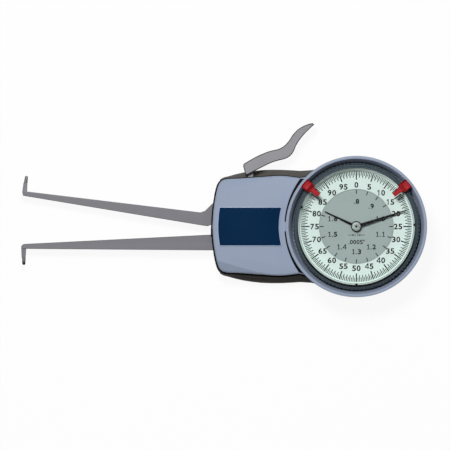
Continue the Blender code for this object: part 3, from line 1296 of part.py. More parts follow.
def dial_and_bezel(paints):
    disc = plate(
        "dial_disc", (circle(DISC_RADIUS, FINE), circle(DISC_BORE_RADIUS, SMALL)),
        DIAL_BOTTOM, DIAL_THICKNESS, paints["disc"],
    )
    for i, at in enumerate(dial_feet()):
        bottom = BRIDGE_BOTTOM + GAP
        height = DIAL_BOTTOM + GAP - bottom
        join(disc, rod(f"dial_foot_{i}", DIAL_FOOT_RADIUS, bottom, height, None, at, TINY))
    spin = axis("bezel_axis", (0.0, 0.0, 0.0))
    edge = BEZEL_BORE_RADIUS - GAP
    plate(
        "dial_ring", (circle(edge, FINE), circle(DISC_RADIUS + GAP, FINE)),
        DIAL_BOTTOM, DIAL_THICKNESS, paints["dial"], spin,
    )
    bezel(paints["bezel"], spin)
    profile = (
        (SPACER_BORE_RADIUS, SPACER_TOP), (edge, SPACER_TOP), (edge, SPACER_BOTTOM),
        (SPACER_BORE_RADIUS - GAP, SPACER_BOTTOM),
    )
    turned("spacer_ring", profile, paints["dial"], FINE, spin, closed=True)
    chamfer = BEZEL_CHAMFER / 2
    profile = (
        (0.0, CRYSTAL_TOP), (edge - chamfer, CRYSTAL_TOP), (edge, CRYSTAL_TOP - chamfer),
        (edge, CRYSTAL_BOTTOM), (0.0, CRYSTAL_BOTTOM),
    )
    turned("crystal", profile, paints["glass"], FINE, spin)
    ring = BEZEL_RADIUS - RIDGE_DEPTH - RING_GROOVE + GAP + RING_WIRE
    section = [(ring + x, BEZEL_BOTTOM + RING_RISE + y) for x, y in circle(RING_WIRE, 4)]
    turned("bezel_ring", section[::-1], paints["rubber"], FINE, None, closed=True)
    marker("marker_left", MARKER_ANGLE, paints["marker"], spin)
    marker("marker_right", -MARKER_ANGLE, paints["marker"], spin)


def main():
    paints = {
        "cover": material("blue_grey_paint", "94A2BC", 0.1, 0.4),
        "grip": material("black_grip", "3A3838", 0.0, 0.6),
        "rubber": material("rubber", "18181A", 0.0, 0.8),
        "label": material("navy_label", "0A2B48", 0.0, 0.35),
        "steel": material("steel", "B8B8BA", 1.0, 0.3),
        "spring": material("blued_steel", "4A5C80", 1.0, 0.3),
        "brass": material("brass", "B89A4E", 1.0, 0.35),
        "ruby": material("ruby", "A02040", 0.0, 0.1),
        "arm": material("satin_chrome", "808085", 0.9, 0.4),
        "carbide": material("carbide", "4C4C50", 0.9, 0.3),
        "lever": material("lever_metal", "949498", 0.8, 0.4),
        "bezel": material("bezel_black", "2A3034", 0.0, 0.5),
        "dial": material("pale_dial", "D4E2DC", 0.0, 0.6),
        "disc": material("grey_dial", "9FABA9", 0.0, 0.6),
        "glass": material("crystal", "F2F6F6", 0.0, 0.05),
        "pointer": material("pointer_black", "1C1C1E", 0.0, 0.4),
        "marker": material("marker_red", "C82D32", 0.0, 0.4),
    }
    housing(paints)
    movement(paints)
    arms(paints)
    hand_lever(paints)
    train(paints)
    dial_and_bezel(paints)
    bpy.context.view_layer.update()


clear_scene()
PARTS = make_collection("dial_caliper")
CUTTERS = make_collection("cutters")
main()
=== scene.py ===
# %% [markdown]
# # A dial caliper gauge for bores and grooves
# Two thin arms reach into a bore, a hand lever closes them, a spring opens them, and a dial shows the
# size over their fingertips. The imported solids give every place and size. This file dresses them:
# the visible pieces are modelled again with fine edges, and every piece gets its real finish.

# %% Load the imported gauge
import math

import bmesh
import bpy
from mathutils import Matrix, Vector


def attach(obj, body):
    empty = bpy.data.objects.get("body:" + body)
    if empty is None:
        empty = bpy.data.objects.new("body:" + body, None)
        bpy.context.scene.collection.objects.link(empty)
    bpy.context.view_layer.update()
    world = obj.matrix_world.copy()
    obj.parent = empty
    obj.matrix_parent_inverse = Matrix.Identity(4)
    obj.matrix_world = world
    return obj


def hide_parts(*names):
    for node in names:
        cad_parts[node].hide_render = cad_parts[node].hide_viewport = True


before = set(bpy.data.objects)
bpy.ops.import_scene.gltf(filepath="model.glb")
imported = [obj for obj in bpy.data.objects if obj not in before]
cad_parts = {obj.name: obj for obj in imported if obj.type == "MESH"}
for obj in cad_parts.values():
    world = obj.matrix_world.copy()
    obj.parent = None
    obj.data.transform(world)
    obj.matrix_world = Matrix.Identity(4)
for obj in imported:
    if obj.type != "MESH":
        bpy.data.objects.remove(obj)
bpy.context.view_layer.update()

MM = 0.001

# %% [markdown]
# The photograph looks straight down on the dial, and neither the arms nor the round collar narrow
# with distance, so an orthographic camera fits. Its width is the photograph's width at the gauge:
# 450 pixels of 0.4613 mm. The camera stands above the middle of that frame.

# %% Camera
PIXEL = 0.4613 * MM
FRAME_PIXELS = 450
FRAME_MIDDLE = Vector((-60.6, 0.69, 0.0)) * MM

camera_data = bpy.data.cameras.new("photo_camera")
camera_data.type = "ORTHO"
camera_data.ortho_scale = FRAME_PIXELS * PIXEL
camera = bpy.data.objects.new("photo_camera", camera_data)
camera.location = FRAME_MIDDLE + Vector((0.0, 0.0, 500.0)) * MM
bpy.context.scene.collection.objects.link(camera)
bpy.context.scene.camera = camera
print("frame width mm:", round(camera_data.ortho_scale / MM, 1))

# %% [markdown]
# Colours are written as on a paint chart, in sRGB hex, and a shader wants linear light. One function
# turns the first into the second. Another adds a shader node with its settings and its links, so that
# a finish reads as a short list of what it is made of.

# %% Colours and shader nodes
def linear(code):
    """An sRGB hex colour as linear light."""
    values = [int(code[i:i + 2], 16) / 255 for i in (0, 2, 4)]
    return [v / 12.92 if v <= 0.04045 else ((v + 0.055) / 1.055) ** 2.4 for v in values] + [1.0]


def add_node(tree, kind, settings=None, links=None):
    """Adds a shader node; a setting is a property of the node or the value of one of its inputs."""
    node = tree.nodes.new(kind)
    for key, value in (settings or {}).items():
        if isinstance(key, str) and key in node.bl_rna.properties:
            setattr(node, key, value)
        else:
            node.inputs[key].default_value = value
    for key, socket in (links or {}).items():
        tree.links.new(socket, node.inputs[key])
    return node


print("a mid grey in linear light:", round(linear("808080")[0], 3))

# %% [markdown]
# The gauge lies on a pale table in soft studio light. The table is white to the camera and in
# reflections, and part of its white is its own diffuse colour, so it still takes the gauge's shadow.
# A large lamp behind the dial's top edge gives the slopes their lit and shaded sides, and the world
# fills in the rest evenly.

# %% Table and world
def by_rays(tree, kinds, theirs, others):
    """Mixes two shaders: the first for rays of these kinds, the second for all others."""
    rays = add_node(tree, "ShaderNodeLightPath")
    found = rays.outputs[kinds[0]]
    for kind in kinds[1:]:
        found = add_node(tree, "ShaderNodeMath", {"operation": "MAXIMUM"},
                         {0: found, 1: rays.outputs[kind]}).outputs[0]
    return add_node(tree, "ShaderNodeMixShader", None, {0: found, 1: others, 2: theirs}).outputs[0]


SEEN = ("Is Camera Ray", "Is Glossy Ray", "Is Transmission Ray")
TABLE_SIZE = 4000 * MM
OWN_WHITE = 0.93
bpy.ops.mesh.primitive_plane_add(size=TABLE_SIZE, location=FRAME_MIDDLE - Vector((0.0, 0.0, 0.05)) * MM)
table = bpy.context.object
table.name = "table"
table_paint = bpy.data.materials.new("matt_white_table")
table_paint.use_nodes = True
tree = table_paint.node_tree
tree.nodes.clear()
matt = add_node(tree, "ShaderNodeBsdfDiffuse", {"Color": linear("F6F6F6")})
glow = add_node(tree, "ShaderNodeEmission", {"Color": linear("FFFFFF"), "Strength": 1.0})
white = add_node(tree, "ShaderNodeMixShader", {0: OWN_WHITE}, {1: matt.outputs[0], 2: glow.outputs[0]})
shown = by_rays(tree, SEEN, white.outputs[0], matt.outputs[0])
add_node(tree, "ShaderNodeOutputMaterial", None, {"Surface": shown})
table.data.materials.append(table_paint)

WORLD_FILL = 0.13
world = bpy.data.worlds.new("white_studio")
bpy.context.scene.world = world
world.use_nodes = True
tree = world.node_tree
tree.nodes.clear()
fill = add_node(tree, "ShaderNodeBackground", {"Color": linear("FFFFFF"), "Strength": WORLD_FILL})
backdrop = add_node(tree, "ShaderNodeBackground", {"Color": linear("FFFFFF"), "Strength": 1.0})
shown = by_rays(tree, SEEN, backdrop.outputs[0], fill.outputs[0])
add_node(tree, "ShaderNodeOutputWorld", None, {"Surface": shown})
print("world fill:", WORLD_FILL)

# %% Lamps
def soft_lamp(name, place, aim, size, power):
    """A square softbox at a place in millimetres, turned to its aim."""
    data = bpy.data.lights.new(name, "AREA")
    data.size = size * MM
    data.energy = power
    lamp = bpy.data.objects.new(name, data)
    lamp.location = Vector(place) * MM
    lamp.rotation_euler = (Vector(aim) * MM - lamp.location).to_track_quat("-Z", "Y").to_euler()
    bpy.context.scene.collection.objects.link(lamp)
    return lamp


soft_lamp("key_softbox", (-130, 280, 900), (-20, 0, 10), 170, 7.1)
soft_lamp("side_softbox", (620, 60, 420), (0, 0, 10), 500, 0.2)
soft_lamp("far_softbox", (-700, -60, 500), (-60, 0, 10), 500, 0.2)
bpy.context.scene.view_settings.view_transform = "Standard"

# %% [markdown]
# By hand, a piece starts as a primitive, is shaped in edit mode and is finished with modifiers. These
# helpers do the clicks: they clear the selection, enter edit mode, choose faces by place, and apply a
# modifier. Everything works on one active piece, and the CAD nodes are never selected with it.

# %% Helpers to model by hand
def object_mode():
    if bpy.context.object and bpy.context.object.mode != "OBJECT":
        bpy.ops.object.mode_set(mode="OBJECT")


def pick(*pieces):
    """Selects only these pieces; the last one is active."""
    object_mode()
    bpy.ops.object.select_all(action="DESELECT")
    for piece in pieces:
        piece.select_set(True)
        bpy.context.view_layer.objects.active = piece
    return pieces[-1]


def edit(piece, element="FACE", everything=False):
    """Opens a piece in edit mode with all of it or nothing selected."""
    pick(piece)
    bpy.ops.object.mode_set(mode="EDIT")
    bpy.ops.mesh.select_mode(type=element)
    bpy.ops.mesh.select_all(action="SELECT" if everything else "DESELECT")


def choose(piece, test, element="FACE"):
    """Selects the faces or edges of the piece in edit mode that pass a test."""
    shape = bmesh.from_edit_mesh(piece.data)
    rows = {"FACE": shape.faces, "EDGE": shape.edges, "VERT": shape.verts}[element]
    count = 0
    for item in rows:
        wanted = bool(test(item))
        item.select_set(wanted)
        count += wanted
    shape.select_flush_mode()
    bmesh.update_edit_mesh(piece.data)
    return count


def modify(piece, kind, **settings):
    """Adds a modifier and applies it."""
    pick(piece)
    bpy.ops.object.modifier_add(type=kind)
    change = piece.modifiers[-1]
    for key, value in settings.items():
        setattr(change, key, value)
    bpy.ops.object.modifier_apply(modifier=change.name)
    return piece


def soften(piece, width, segments=2, degrees=40.0):
    """Rounds the sharp edges of a piece by a width in millimetres."""
    return modify(piece, "BEVEL", width=width * MM, segments=segments, limit_method="ANGLE",
                  angle_limit=math.radians(degrees), use_clamp_overlap=True, harden_normals=False)


def combine(piece, other, operation):
    """Joins, cuts or keeps what two pieces share, and removes the second."""
    modify(piece, "BOOLEAN", operation=operation, solver="EXACT", object=other)
    bpy.data.objects.remove(other)
    return piece


def cut(piece, *others):
    """Cuts other pieces out of a piece, one after the other."""
    for other in others:
        combine(piece, other, "DIFFERENCE")
    return piece


def unite(piece, *others):
    """Grows other pieces into a piece, one after the other."""
    for other in others:
        combine(piece, other, "UNION")
    return piece


def joined(pieces, name):
    """Loose pieces as one object, without a Boolean."""
    pick(*pieces)
    bpy.ops.object.join()
    bpy.context.object.name = name
    return bpy.context.object


def twin(mesh, name):
    """A new object with a mesh of its own, copied from another."""
    piece = bpy.data.objects.new(name, mesh.copy())
    bpy.context.scene.collection.objects.link(piece)
    return piece


print("helpers ready")

# %% [markdown]
# A flat piece is an outline with a bottom and a top, and a turned one is a section of radius and
# height. Both are written in millimetres, so they read like a drawing, and become metres as they are
# made. The last helpers draw outlines: arcs, circles, rectangles, and soft curves through points.

# %% Flat and turned pieces
def tidy_mesh(piece):
    """Merges doubles and turns every face outwards."""
    edit(piece, "VERT", everything=True)
    bpy.ops.mesh.remove_doubles(threshold=0.002 * MM)
    bpy.ops.mesh.delete_loose()
    bpy.ops.mesh.select_all(action="SELECT")
    bpy.ops.mesh.normals_make_consistent(inside=False)
    object_mode()
    return piece


def plate_piece(name, outline, bottom, top):
    """A plate: a filled circle whose points are drawn out to the outline, extruded upwards."""
    object_mode()
    bpy.ops.object.select_all(action="DESELECT")
    bpy.ops.mesh.primitive_circle_add(vertices=len(outline), radius=10 * MM, fill_type="NGON")
    piece = bpy.context.object
    piece.name = name
    for vert, (x, y) in zip(piece.data.vertices, outline):
        vert.co = (x * MM, y * MM, bottom * MM)
    edit(piece, everything=True)
    bpy.ops.mesh.extrude_region_move(TRANSFORM_OT_translate={"value": (0.0, 0.0, (top - bottom) * MM)})
    return tidy_mesh(piece)


def spun_piece(name, section, steps):
    """A turned piece: a closed section of radius and height, spun a full turn about Z."""
    object_mode()
    bpy.ops.object.select_all(action="DESELECT")
    bpy.ops.mesh.primitive_circle_add(vertices=len(section), radius=10 * MM, fill_type="NOTHING")
    piece = bpy.context.object
    piece.name = name
    for vert, (radius, height) in zip(piece.data.vertices, section):
        vert.co = (radius * MM, 0.0, height * MM)
    edit(piece, "EDGE", everything=True)
    bpy.ops.mesh.spin(steps=steps, angle=math.tau, center=(0.0, 0.0, 0.0), axis=(0.0, 0.0, 1.0))
    return tidy_mesh(piece)


NORTH = math.pi / 2


def polar(radius, angle):
    """A point at a radius and an angle from +X."""
    return radius * math.cos(angle), radius * math.sin(angle)


def arc(centre, radius, start, end, steps):
    """Points on an arc, both ends included."""
    angles = [start + (end - start) * i / steps for i in range(steps + 1)]
    return [(centre[0] + radius * math.cos(a), centre[1] + radius * math.sin(a)) for a in angles]


def circle(radius, steps, centre=(0.0, 0.0)):
    """A circle's outline, anticlockwise."""
    return arc(centre, radius, 0.0, math.tau, steps)[:-1]


def block(left, low, right, high):
    """A rectangle's outline, anticlockwise."""
    return [(left, low), (right, low), (right, high), (left, high)]


def flowing(points, steps):
    """A soft curve through the points, with this many steps between two of them."""
    made = []
    for i in range(len(points) - 1):
        rows = [Vector(points[min(max(j, 0), len(points) - 1)]) for j in (i - 1, i, i + 1, i + 2)]
        for step in range(steps):
            t = step / steps
            spot = 2 * rows[1] + (rows[2] - rows[0]) * t
            spot += (2 * rows[0] - 5 * rows[1] + 4 * rows[2] - rows[3]) * t * t
            spot += (3 * rows[1] - 3 * rows[2] + rows[3] - rows[0]) * t ** 3
            made.append(tuple(spot / 2))
    return made + [tuple(points[-1])]


def inset(points, distance):
    """An anticlockwise outline moved inwards, or outwards for a negative distance."""
    made = []
    for i, point in enumerate(points):
        before, here, after = Vector(points[i - 1]), Vector(point), Vector(points[(i + 1) % len(points)])
        one, two = (here - before).normalized(), (after - here).normalized()
        across = Vector((-(one + two).y, (one + two).x)).normalized()
        made.append(tuple(here + across * distance / max(across.dot(Vector((-one.y, one.x))), 0.5)))
    return made


def ring_of_copies(first, name, angles):
    """Copies of one piece turned about the dial's axis and joined; the first one lies on +X."""
    pieces = []
    for angle in angles:
        pieces.append(twin(first.data, name))
        pieces[-1].rotation_euler = (0.0, 0.0, angle)
    bpy.data.objects.remove(first)
    return joined(pieces, name)


print("points of a circle in 40 steps:", len(circle(1.0, 40)))

# %% Finish a piece
def finish_piece(piece, body, paint, slot, *stands_for, degrees=35.0, edge_shade_paint=None):
    """Shades a piece, gives it its paints and its body, and says which CAD nodes it stands for."""
    pick(piece)
    bpy.ops.object.transform_apply(location=True, rotation=True, scale=True)
    bpy.ops.object.shade_smooth_by_angle(angle=math.radians(degrees))
    piece.data.materials.clear()
    piece.data.materials.append(paint)
    # Side and bevel faces take the second paint: painted shade for a dark line along the edges.
    if edge_shade_paint:
        piece.data.materials.append(edge_shade_paint)
        for face in piece.data.polygons:
            face.material_index = int(abs(face.normal.z) < 0.96)
        modify(piece, "WEIGHTED_NORMAL", keep_sharp=True, weight=90)
    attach(piece, body)
    if stands_for:
        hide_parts(*stands_for)
    piece.data.name = piece.name
    print(piece.name, "faces:", len(piece.data.polygons))
    return piece


def copy_of_node(node, name):
    """A copy of a CAD node's mesh, in place, with its doubles merged."""
    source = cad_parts[node]
    piece = twin(source.data, name)
    piece.data.transform(source.matrix_world)
    return tidy_mesh(piece)


print("finishing helpers ready")

# %% [markdown]
# Most finishes here are one recipe: a base colour that drifts a little towards a second one, a
# roughness that drifts with it, and a fine relief. Only the sizes differ. The patterns use object
# coordinates scaled to millimetres, so a grain of 0.3 mm is 0.3 mm on every piece. A stretch along X
# turns the grain into the lines of a brush or a grinding wheel.

# %% A recipe for plain finishes
def plain_finish(name, first, second, rough=(0.35, 0.45), drift=6.0, grain=0.3, depth=0.004,
                 stretch=(1.0, 1.0, 1.0), spec=0.5, **values):
    """Two close colours and two roughnesses that drift over the drift size, and a fine grain."""
    finish = bpy.data.materials.new(name)
    finish.use_nodes = True
    tree = finish.node_tree
    shader = tree.nodes["Principled BSDF"]
    for key, value in ({"Specular IOR Level": spec} | values).items():
        shader.inputs[key.replace("_", " ")].default_value = value
    place = add_node(tree, "ShaderNodeTexCoord").outputs["Object"]
    cloud = add_node(tree, "ShaderNodeTexNoise", {"Scale": 1.0 / (drift * MM), "Detail": 2.0},
                     {"Vector": place})
    tone = add_node(tree, "ShaderNodeMix", {"data_type": "RGBA", 6: linear(first), 7: linear(second)},
                    {0: cloud.outputs["Fac"]})
    gloss = add_node(tree, "ShaderNodeMapRange", {"To Min": rough[0], "To Max": rough[1]},
                     {"Value": cloud.outputs["Fac"]})
    grid = {"vector_type": "TEXTURE", "Scale": [s * MM for s in stretch]}
    drawn = add_node(tree, "ShaderNodeMapping", grid, {"Vector": place})
    fine = add_node(tree, "ShaderNodeTexNoise", {"Scale": 1.0 / grain, "Detail": 3.0, "Roughness": 0.55},
                    {"Vector": drawn.outputs[0]})
    bump = add_node(tree, "ShaderNodeBump", {"Distance": depth * MM}, {"Height": fine.outputs["Fac"]})
    tree.links.new(tone.outputs[2], shader.inputs["Base Color"])
    tree.links.new(gloss.outputs[0], shader.inputs["Roughness"])
    tree.links.new(bump.outputs[0], shader.inputs["Normal"])
    return finish


print("recipe ready")

# %% [markdown]
# The hidden movement is made of the usual clockmaker's metals: blued springs, brass wheels, steel
# arbours and two ruby bearings. Steel is ground, so its grain runs in lines. A metal keeps the
# shader's default index of refraction, since its colour already says how it reflects.

# %% Metals and stones of the movement
ground_steel = plain_finish("ground_steel", "A9ABAE", "9FA1A5", (0.28, 0.40), 4.0, 0.12, 0.003,
                            (9.0, 1.0, 1.0), Metallic=1.0)
turned_steel = plain_finish("turned_steel", "B4B5B8", "A6A7AB", (0.22, 0.34), 2.0, 0.10, 0.002, Metallic=1.0)
rolled_brass = plain_finish("rolled_brass", "C2A25A", "B4934A", (0.26, 0.40), 3.0, 0.12, 0.003,
                            (6.0, 1.0, 1.0), Metallic=1.0)
blued_spring = plain_finish("blued_spring_steel", "3D4E78", "4A4370", (0.22, 0.32), 2.0, 0.10, 0.002,
                            Metallic=1.0)
polished_ruby = plain_finish("polished_ruby", "8E1436", "A41C44", (0.06, 0.12), 1.0, 0.20, 0.001, IOR=1.77)

# %% [markdown]
# The front shell is a casting under blue-grey stoving paint: satin, with the faint ripple that sprayed
# paint dries to. The grip of the rear shell is moulded in a dark soft plastic with a leather-like
# grain, and the seals are plain black rubber. Both dark ones reflect little, which keeps them deep.

# %% Housing finishes
shell_paint = plain_finish("blue_grey_stoving_paint", "919DB2", "95A1B6", (0.38, 0.48), 9.0, 0.9, 0.010,
                           spec=0.12)
grip_plastic = plain_finish("moulded_dark_grip", "54514E", "5D5A57", (0.55, 0.70), 5.0, spec=0.15)
tree = grip_plastic.node_tree
LEATHER_GRAIN = 0.55
cells = add_node(tree, "ShaderNodeTexVoronoi",
                 {"feature": "SMOOTH_F1", "Scale": 1.0 / (LEATHER_GRAIN * MM), "Smoothness": 0.6},
                 {"Vector": tree.nodes["Texture Coordinate"].outputs["Object"]})
bump = tree.nodes["Bump"]
bump.inputs["Distance"].default_value = 0.03 * MM
tree.links.new(cells.outputs["Distance"], bump.inputs["Height"])
seal_rubber = plain_finish("black_seal_rubber", "0E0E0F", "131314", (0.65, 0.80), 2.0, 0.15, 0.006, spec=0.08)
print("housing finishes:", shell_paint.name, grip_plastic.name, seal_rubber.name)

# %% [markdown]
# The arms are blanked from steel, ground flat and matt chromed. They look a quiet warm grey, a little
# darker where the grinding wheel left its lines along them. The lever is the same steel blasted finer
# and a little lighter. The darker paints on their side and bevel faces are painted shade, the dark line along
# their edges.

# %% Arm, lever and contact finishes
arm_chrome = plain_finish("matt_chromed_steel", "67666B", "6E6D72", (0.48, 0.60), 5.0, 0.16, 0.006,
                          (14.0, 1.0, 1.0), Metallic=0.30, spec=0.12)
# The two darker edge paints below are painted shade, put on side and bevel faces as a dark edge line.
arm_edge_shade = plain_finish("chromed_edge_painted_shade", "58585D", "626266", (0.44, 0.56), 3.0, 0.14, 0.005,
                        Metallic=0.30, spec=0.10)
lever_chrome = plain_finish("blasted_chromed_steel", "77777B", "7E7E82", (0.48, 0.58), 4.0, 0.22, 0.010,
                            Metallic=0.30, spec=0.12)
lever_edge_shade = plain_finish("lever_edge_painted_shade", "29292B", "323234", (0.45, 0.55), 3.0, 0.20, 0.006, spec=0.15)
dark_carbide = plain_finish("ground_dark_carbide", "28282B", "313134", (0.30, 0.42), 1.5, 0.10, 0.002,
                            Metallic=0.3, spec=0.15)
worn_carbide = plain_finish("worn_grey_carbide", "78787C", "808085", (0.40, 0.50), 1.5, 0.10, 0.002,
                            Metallic=0.30, spec=0.12)
print("arm finishes:", arm_chrome.name, lever_chrome.name, dark_carbide.name)

# %% [markdown]
# The bezel and the pointers are black, the dial is pale enamel with a matt grey middle, the markers
# are moulded in red, and the crystal is clear acrylic. Light must reach the dial through the crystal,
# so for the shadow and diffuse rays that carry it the crystal is simply open, and for the eye it is
# acrylic with its true index of refraction.

# %% Dial finishes
bezel_black = plain_finish("black_anodised_aluminium", "161A1E", "1D2227", (0.30, 0.40), 3.0, 0.18, 0.004,
                           spec=0.07)
# The lighter slate is painted light: it stands for the lit slopes of the bezel's crown.
bezel_painted_light = plain_finish("slate_painted_light", "4A575F", "58666F", (0.30, 0.40), 1.2, 0.15, 0.004,
                           spec=0.12)
dial_enamel = plain_finish("pale_green_enamel", "D8E7E3", "D4E4DF", (0.45, 0.52), 8.0, 0.5, 0.002, spec=0.20)
disc_enamel = plain_finish("grey_enamel", "9DAAA9", "99A6A5", (0.46, 0.54), 7.0, 0.5, 0.002, spec=0.15)
print_ink = plain_finish("dial_ink", "0C0E0F", "121516", (0.50, 0.60), 1.5, 0.2, 0.001, spec=0.03)
fine_ink = plain_finish("thin_dial_ink", "171C1D", "1E2425", (0.50, 0.60), 1.5, 0.2, 0.001, spec=0.03)
pointer_black = plain_finish("black_lacquer", "060607", "0A0A0B", (0.34, 0.44), 2.0, 0.2, 0.002, spec=0.05)
marker_red = plain_finish("moulded_red_abs", "9C161E", "A41C24", (0.36, 0.48), 2.0, 0.35, 0.006, spec=0.10)
label_navy = plain_finish("navy_printed_plate", "082746", "0A2B4B", (0.40, 0.50), 8.0, 0.4, 0.002, spec=0.01)
label_line = plain_finish("pale_printed_line", "A9B4CC", "A2ADC6", (0.40, 0.48), 4.0, 0.4, 0.001, spec=0.20)
cap_steel = plain_finish("turned_pale_cap", "7F8785", "79817F", (0.40, 0.50), 1.0, 0.2, 0.002, Metallic=0.2,
                         spec=0.12)
print("dial finishes:", dial_enamel.name, disc_enamel.name, print_ink.name)

# %% Crystal finish
clear_crystal = plain_finish("clear_acrylic", "FCFEFD", "F8FCFA", (0.0, 0.02), 12.0, 6.0, 0.0005, IOR=1.49,
                             Transmission_Weight=1.0, Specular_Tint=linear("4A4A4A"))
tree = clear_crystal.node_tree
acrylic = tree.nodes["Principled BSDF"]
open_way = add_node(tree, "ShaderNodeBsdfTransparent")
shown = by_rays(tree, ("Is Shadow Ray", "Is Diffuse Ray"), open_way.outputs[0], acrylic.outputs[0])
tree.links.new(shown, tree.nodes["Material Output"].inputs["Surface"])
print("crystal IOR:", acrylic.inputs["IOR"].default_value)

# %% [markdown]
# The spacer between the dial and the crystal is milky plastic. It has the ring's pale colour, and the
# light that reaches the dial past the crystal's rim comes through it.

# %% Spacer finish
milky_plastic = plain_finish("milky_plastic", "D8E7E3", "D4E4DF", (0.45, 0.52), 8.0, 0.5, 0.002, spec=0.20)
tree = milky_plastic.node_tree
MILKY_SHARE = 0.95
plastic = tree.nodes["Principled BSDF"].outputs[0]
open_way = add_node(tree, "ShaderNodeBsdfTransparent")
let_through = add_node(tree, "ShaderNodeMixShader", {0: MILKY_SHARE}, {1: plastic, 2: open_way.outputs[0]})
shown = by_rays(tree, ("Is Shadow Ray",), let_through.outputs[0], plastic)
tree.links.new(shown, tree.nodes["Material Output"].inputs["Surface"])
print("light through the spacer:", MILKY_SHARE)

# %% [markdown]
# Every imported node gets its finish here, the hidden ones too. The visible ones are replaced further
# on by finer pieces in the same finishes.

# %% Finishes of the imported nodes
def numbered(name, count):
    return [f"{name}_{number}" for number in range(1, count + 1)]


FINISH_OF = {
    ground_steel: ["frame_plate", "bridge_plate", "sector_gear"],
    turned_steel: [
        "arm_pivot_pin", "lever_pivot_pin", "centre_arbour", "intermediate_arbour", "motion_stud",
        "spring_post", "stop_pin_closed", "stop_pin_open", *numbered("bridge_screw", 3),
        *numbered("fixed_arm_screw", 2), *numbered("frame_screw", 3), *numbered("housing_screw", 4),
        *numbered("pillar", 3), *numbered("sector_screw", 2),
    ],
    rolled_brass: ["hour_wheel", "intermediate_wheel", "motion_wheel"],
    blued_spring: ["hairspring", "return_spring"],
    polished_ruby: ["centre_bush", "intermediate_bush"],
    shell_paint: ["front_housing"],
    grip_plastic: ["rear_housing"],
    seal_rubber: ["arm_seal", "lever_seal", "housing_gasket", "bezel_ring"],
    arm_chrome: ["fixed_arm", "movable_arm"],
    lever_chrome: ["lever"],
    dark_carbide: ["fixed_contact", "movable_contact"],
    bezel_black: ["bezel"],
    dial_enamel: ["dial_ring"],
    milky_plastic: ["spacer_ring"],
    disc_enamel: ["dial_disc"],
    pointer_black: ["main_pointer", "small_pointer"],
    cap_steel: ["pointer_cap"],
    marker_red: ["marker_left", "marker_right"],
    label_navy: ["label_plate"],
    clear_crystal: ["crystal"],
}
given = 0
for finish, names in FINISH_OF.items():
    for name in names:
        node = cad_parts[name]
        node.data.materials.clear()
        node.data.materials.append(finish)
        given += 1
print("nodes given a finish:", given, "of", len(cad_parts))

# %% [markdown]
# The front shell is one casting: a flat cover whose corners slope down towards the nose, and a collar
# that stands round the bezel. By hand it starts as a flat outline, pulled up to its height. Two
# bisecting cuts take the sloped corners off, a bevel rounds the rim, and Booleans hollow it and open
# a moat on the nose side of the collar, where the photograph shows its deep shadow.

# %% Outline of the cover
# The lower half is narrower; the joint seal's lip fills the rest with black, painted shade of the lower rim.
NOSE_REACH, HALF_HEIGHT, LOWER_HALF, DRUM_RADIUS = 67.4, 23.35, 22.6, 31.0
SHELL_BOTTOM, COVER_UNDER, COVER_TOP = 13.2, 17.2, 19.0
COVER_SHARES = (
    (0.985, 0.000), (0.979, 0.280), (0.968, 0.520), (0.952, 0.740), (0.931, 0.875),
    (0.890, 0.935), (0.797, 0.948), (0.660, 0.977), (0.516, 1.000), (0.390, 0.960),
)
nose_half = flowing([(-along * NOSE_REACH, up * HALF_HEIGHT) for along, up in COVER_SHARES], 8)
drum_half = arc((0.0, 0.0), DRUM_RADIUS, math.radians(132.0), 0.0, 44)
lower_share = LOWER_HALF / HALF_HEIGHT
cover_outline = [(x, -y * lower_share) for x, y in nose_half] + [(x, -y) for x, y in drum_half]
cover_outline += (nose_half + drum_half)[-2:0:-1]
print("outline points:", len(cover_outline))

# %% Cover with sloped corners
SLOPE_START, SLOPE_END, RIM_ROUND = Vector((-64.3, 15.6, 19.0)), Vector((-42.0, 21.8, 19.0)), 1.0
shell = plate_piece("front_shell", cover_outline, SHELL_BOTTOM, COVER_TOP)
along = (SLOPE_END - SLOPE_START).normalized()
for side, slope in ((1.0, math.radians(20.0)), (-1.0, math.radians(23.0))):
    outwards = Vector((-along.y, side * along.x, 0.0))
    cut_normal = outwards * math.sin(slope) + Vector((0.0, 0.0, math.cos(slope)))
    cut_place = Vector((SLOPE_START.x, side * SLOPE_START.y, SLOPE_START.z)) * MM
    edit(shell, everything=True)
    bpy.ops.mesh.bisect(plane_co=cut_place, plane_no=cut_normal, use_fill=True, clear_outer=True)
edit(shell, "EDGE")
count = choose(shell, lambda edge: all(v.co.z > (COVER_UNDER - 1.0) * MM for v in edge.verts)
               and edge.calc_face_angle(0.0) > math.radians(40.0), "EDGE")
bpy.ops.mesh.bevel(offset=RIM_ROUND * MM, segments=5, affect="EDGES")
object_mode()
print("rim edges rounded:", count)

# %% Hollow, moat and screw bosses
MOAT_CENTRE, MOAT_RADIUS, MOAT_FLOOR, TAB_HALF = (3.8, 0.0), 37.0, 18.0, 2.2
SCREW_PLACES = [(-60.0, 17.0), (-60.0, -17.0)] + [polar(25.4, math.radians(a)) for a in (49.0, -49.0)]
cut(shell, plate_piece("cavity", inset(cover_outline, 1.8), SHELL_BOTTOM - 1.0, COVER_UNDER),
    plate_piece("rebate", inset(cover_outline, 0.9), SHELL_BOTTOM - 1.0, 13.7))
moat = plate_piece("moat", circle(MOAT_RADIUS, 160, MOAT_CENTRE), MOAT_FLOOR, 21.0)
cut(moat, plate_piece("tab", block(-34.0, -TAB_HALF, -30.0, TAB_HALF), 17.0, 22.0))
cut(shell, moat)
for place in SCREW_PLACES:
    unite(shell, plate_piece("boss", circle(3.1, 40, place), SHELL_BOTTOM, COVER_UNDER + 0.5))
    cut(shell, plate_piece("pilot", circle(1.3, 24, place), SHELL_BOTTOM - 1.0, 15.1))
print("shell faces:", len(shell.data.polygons))

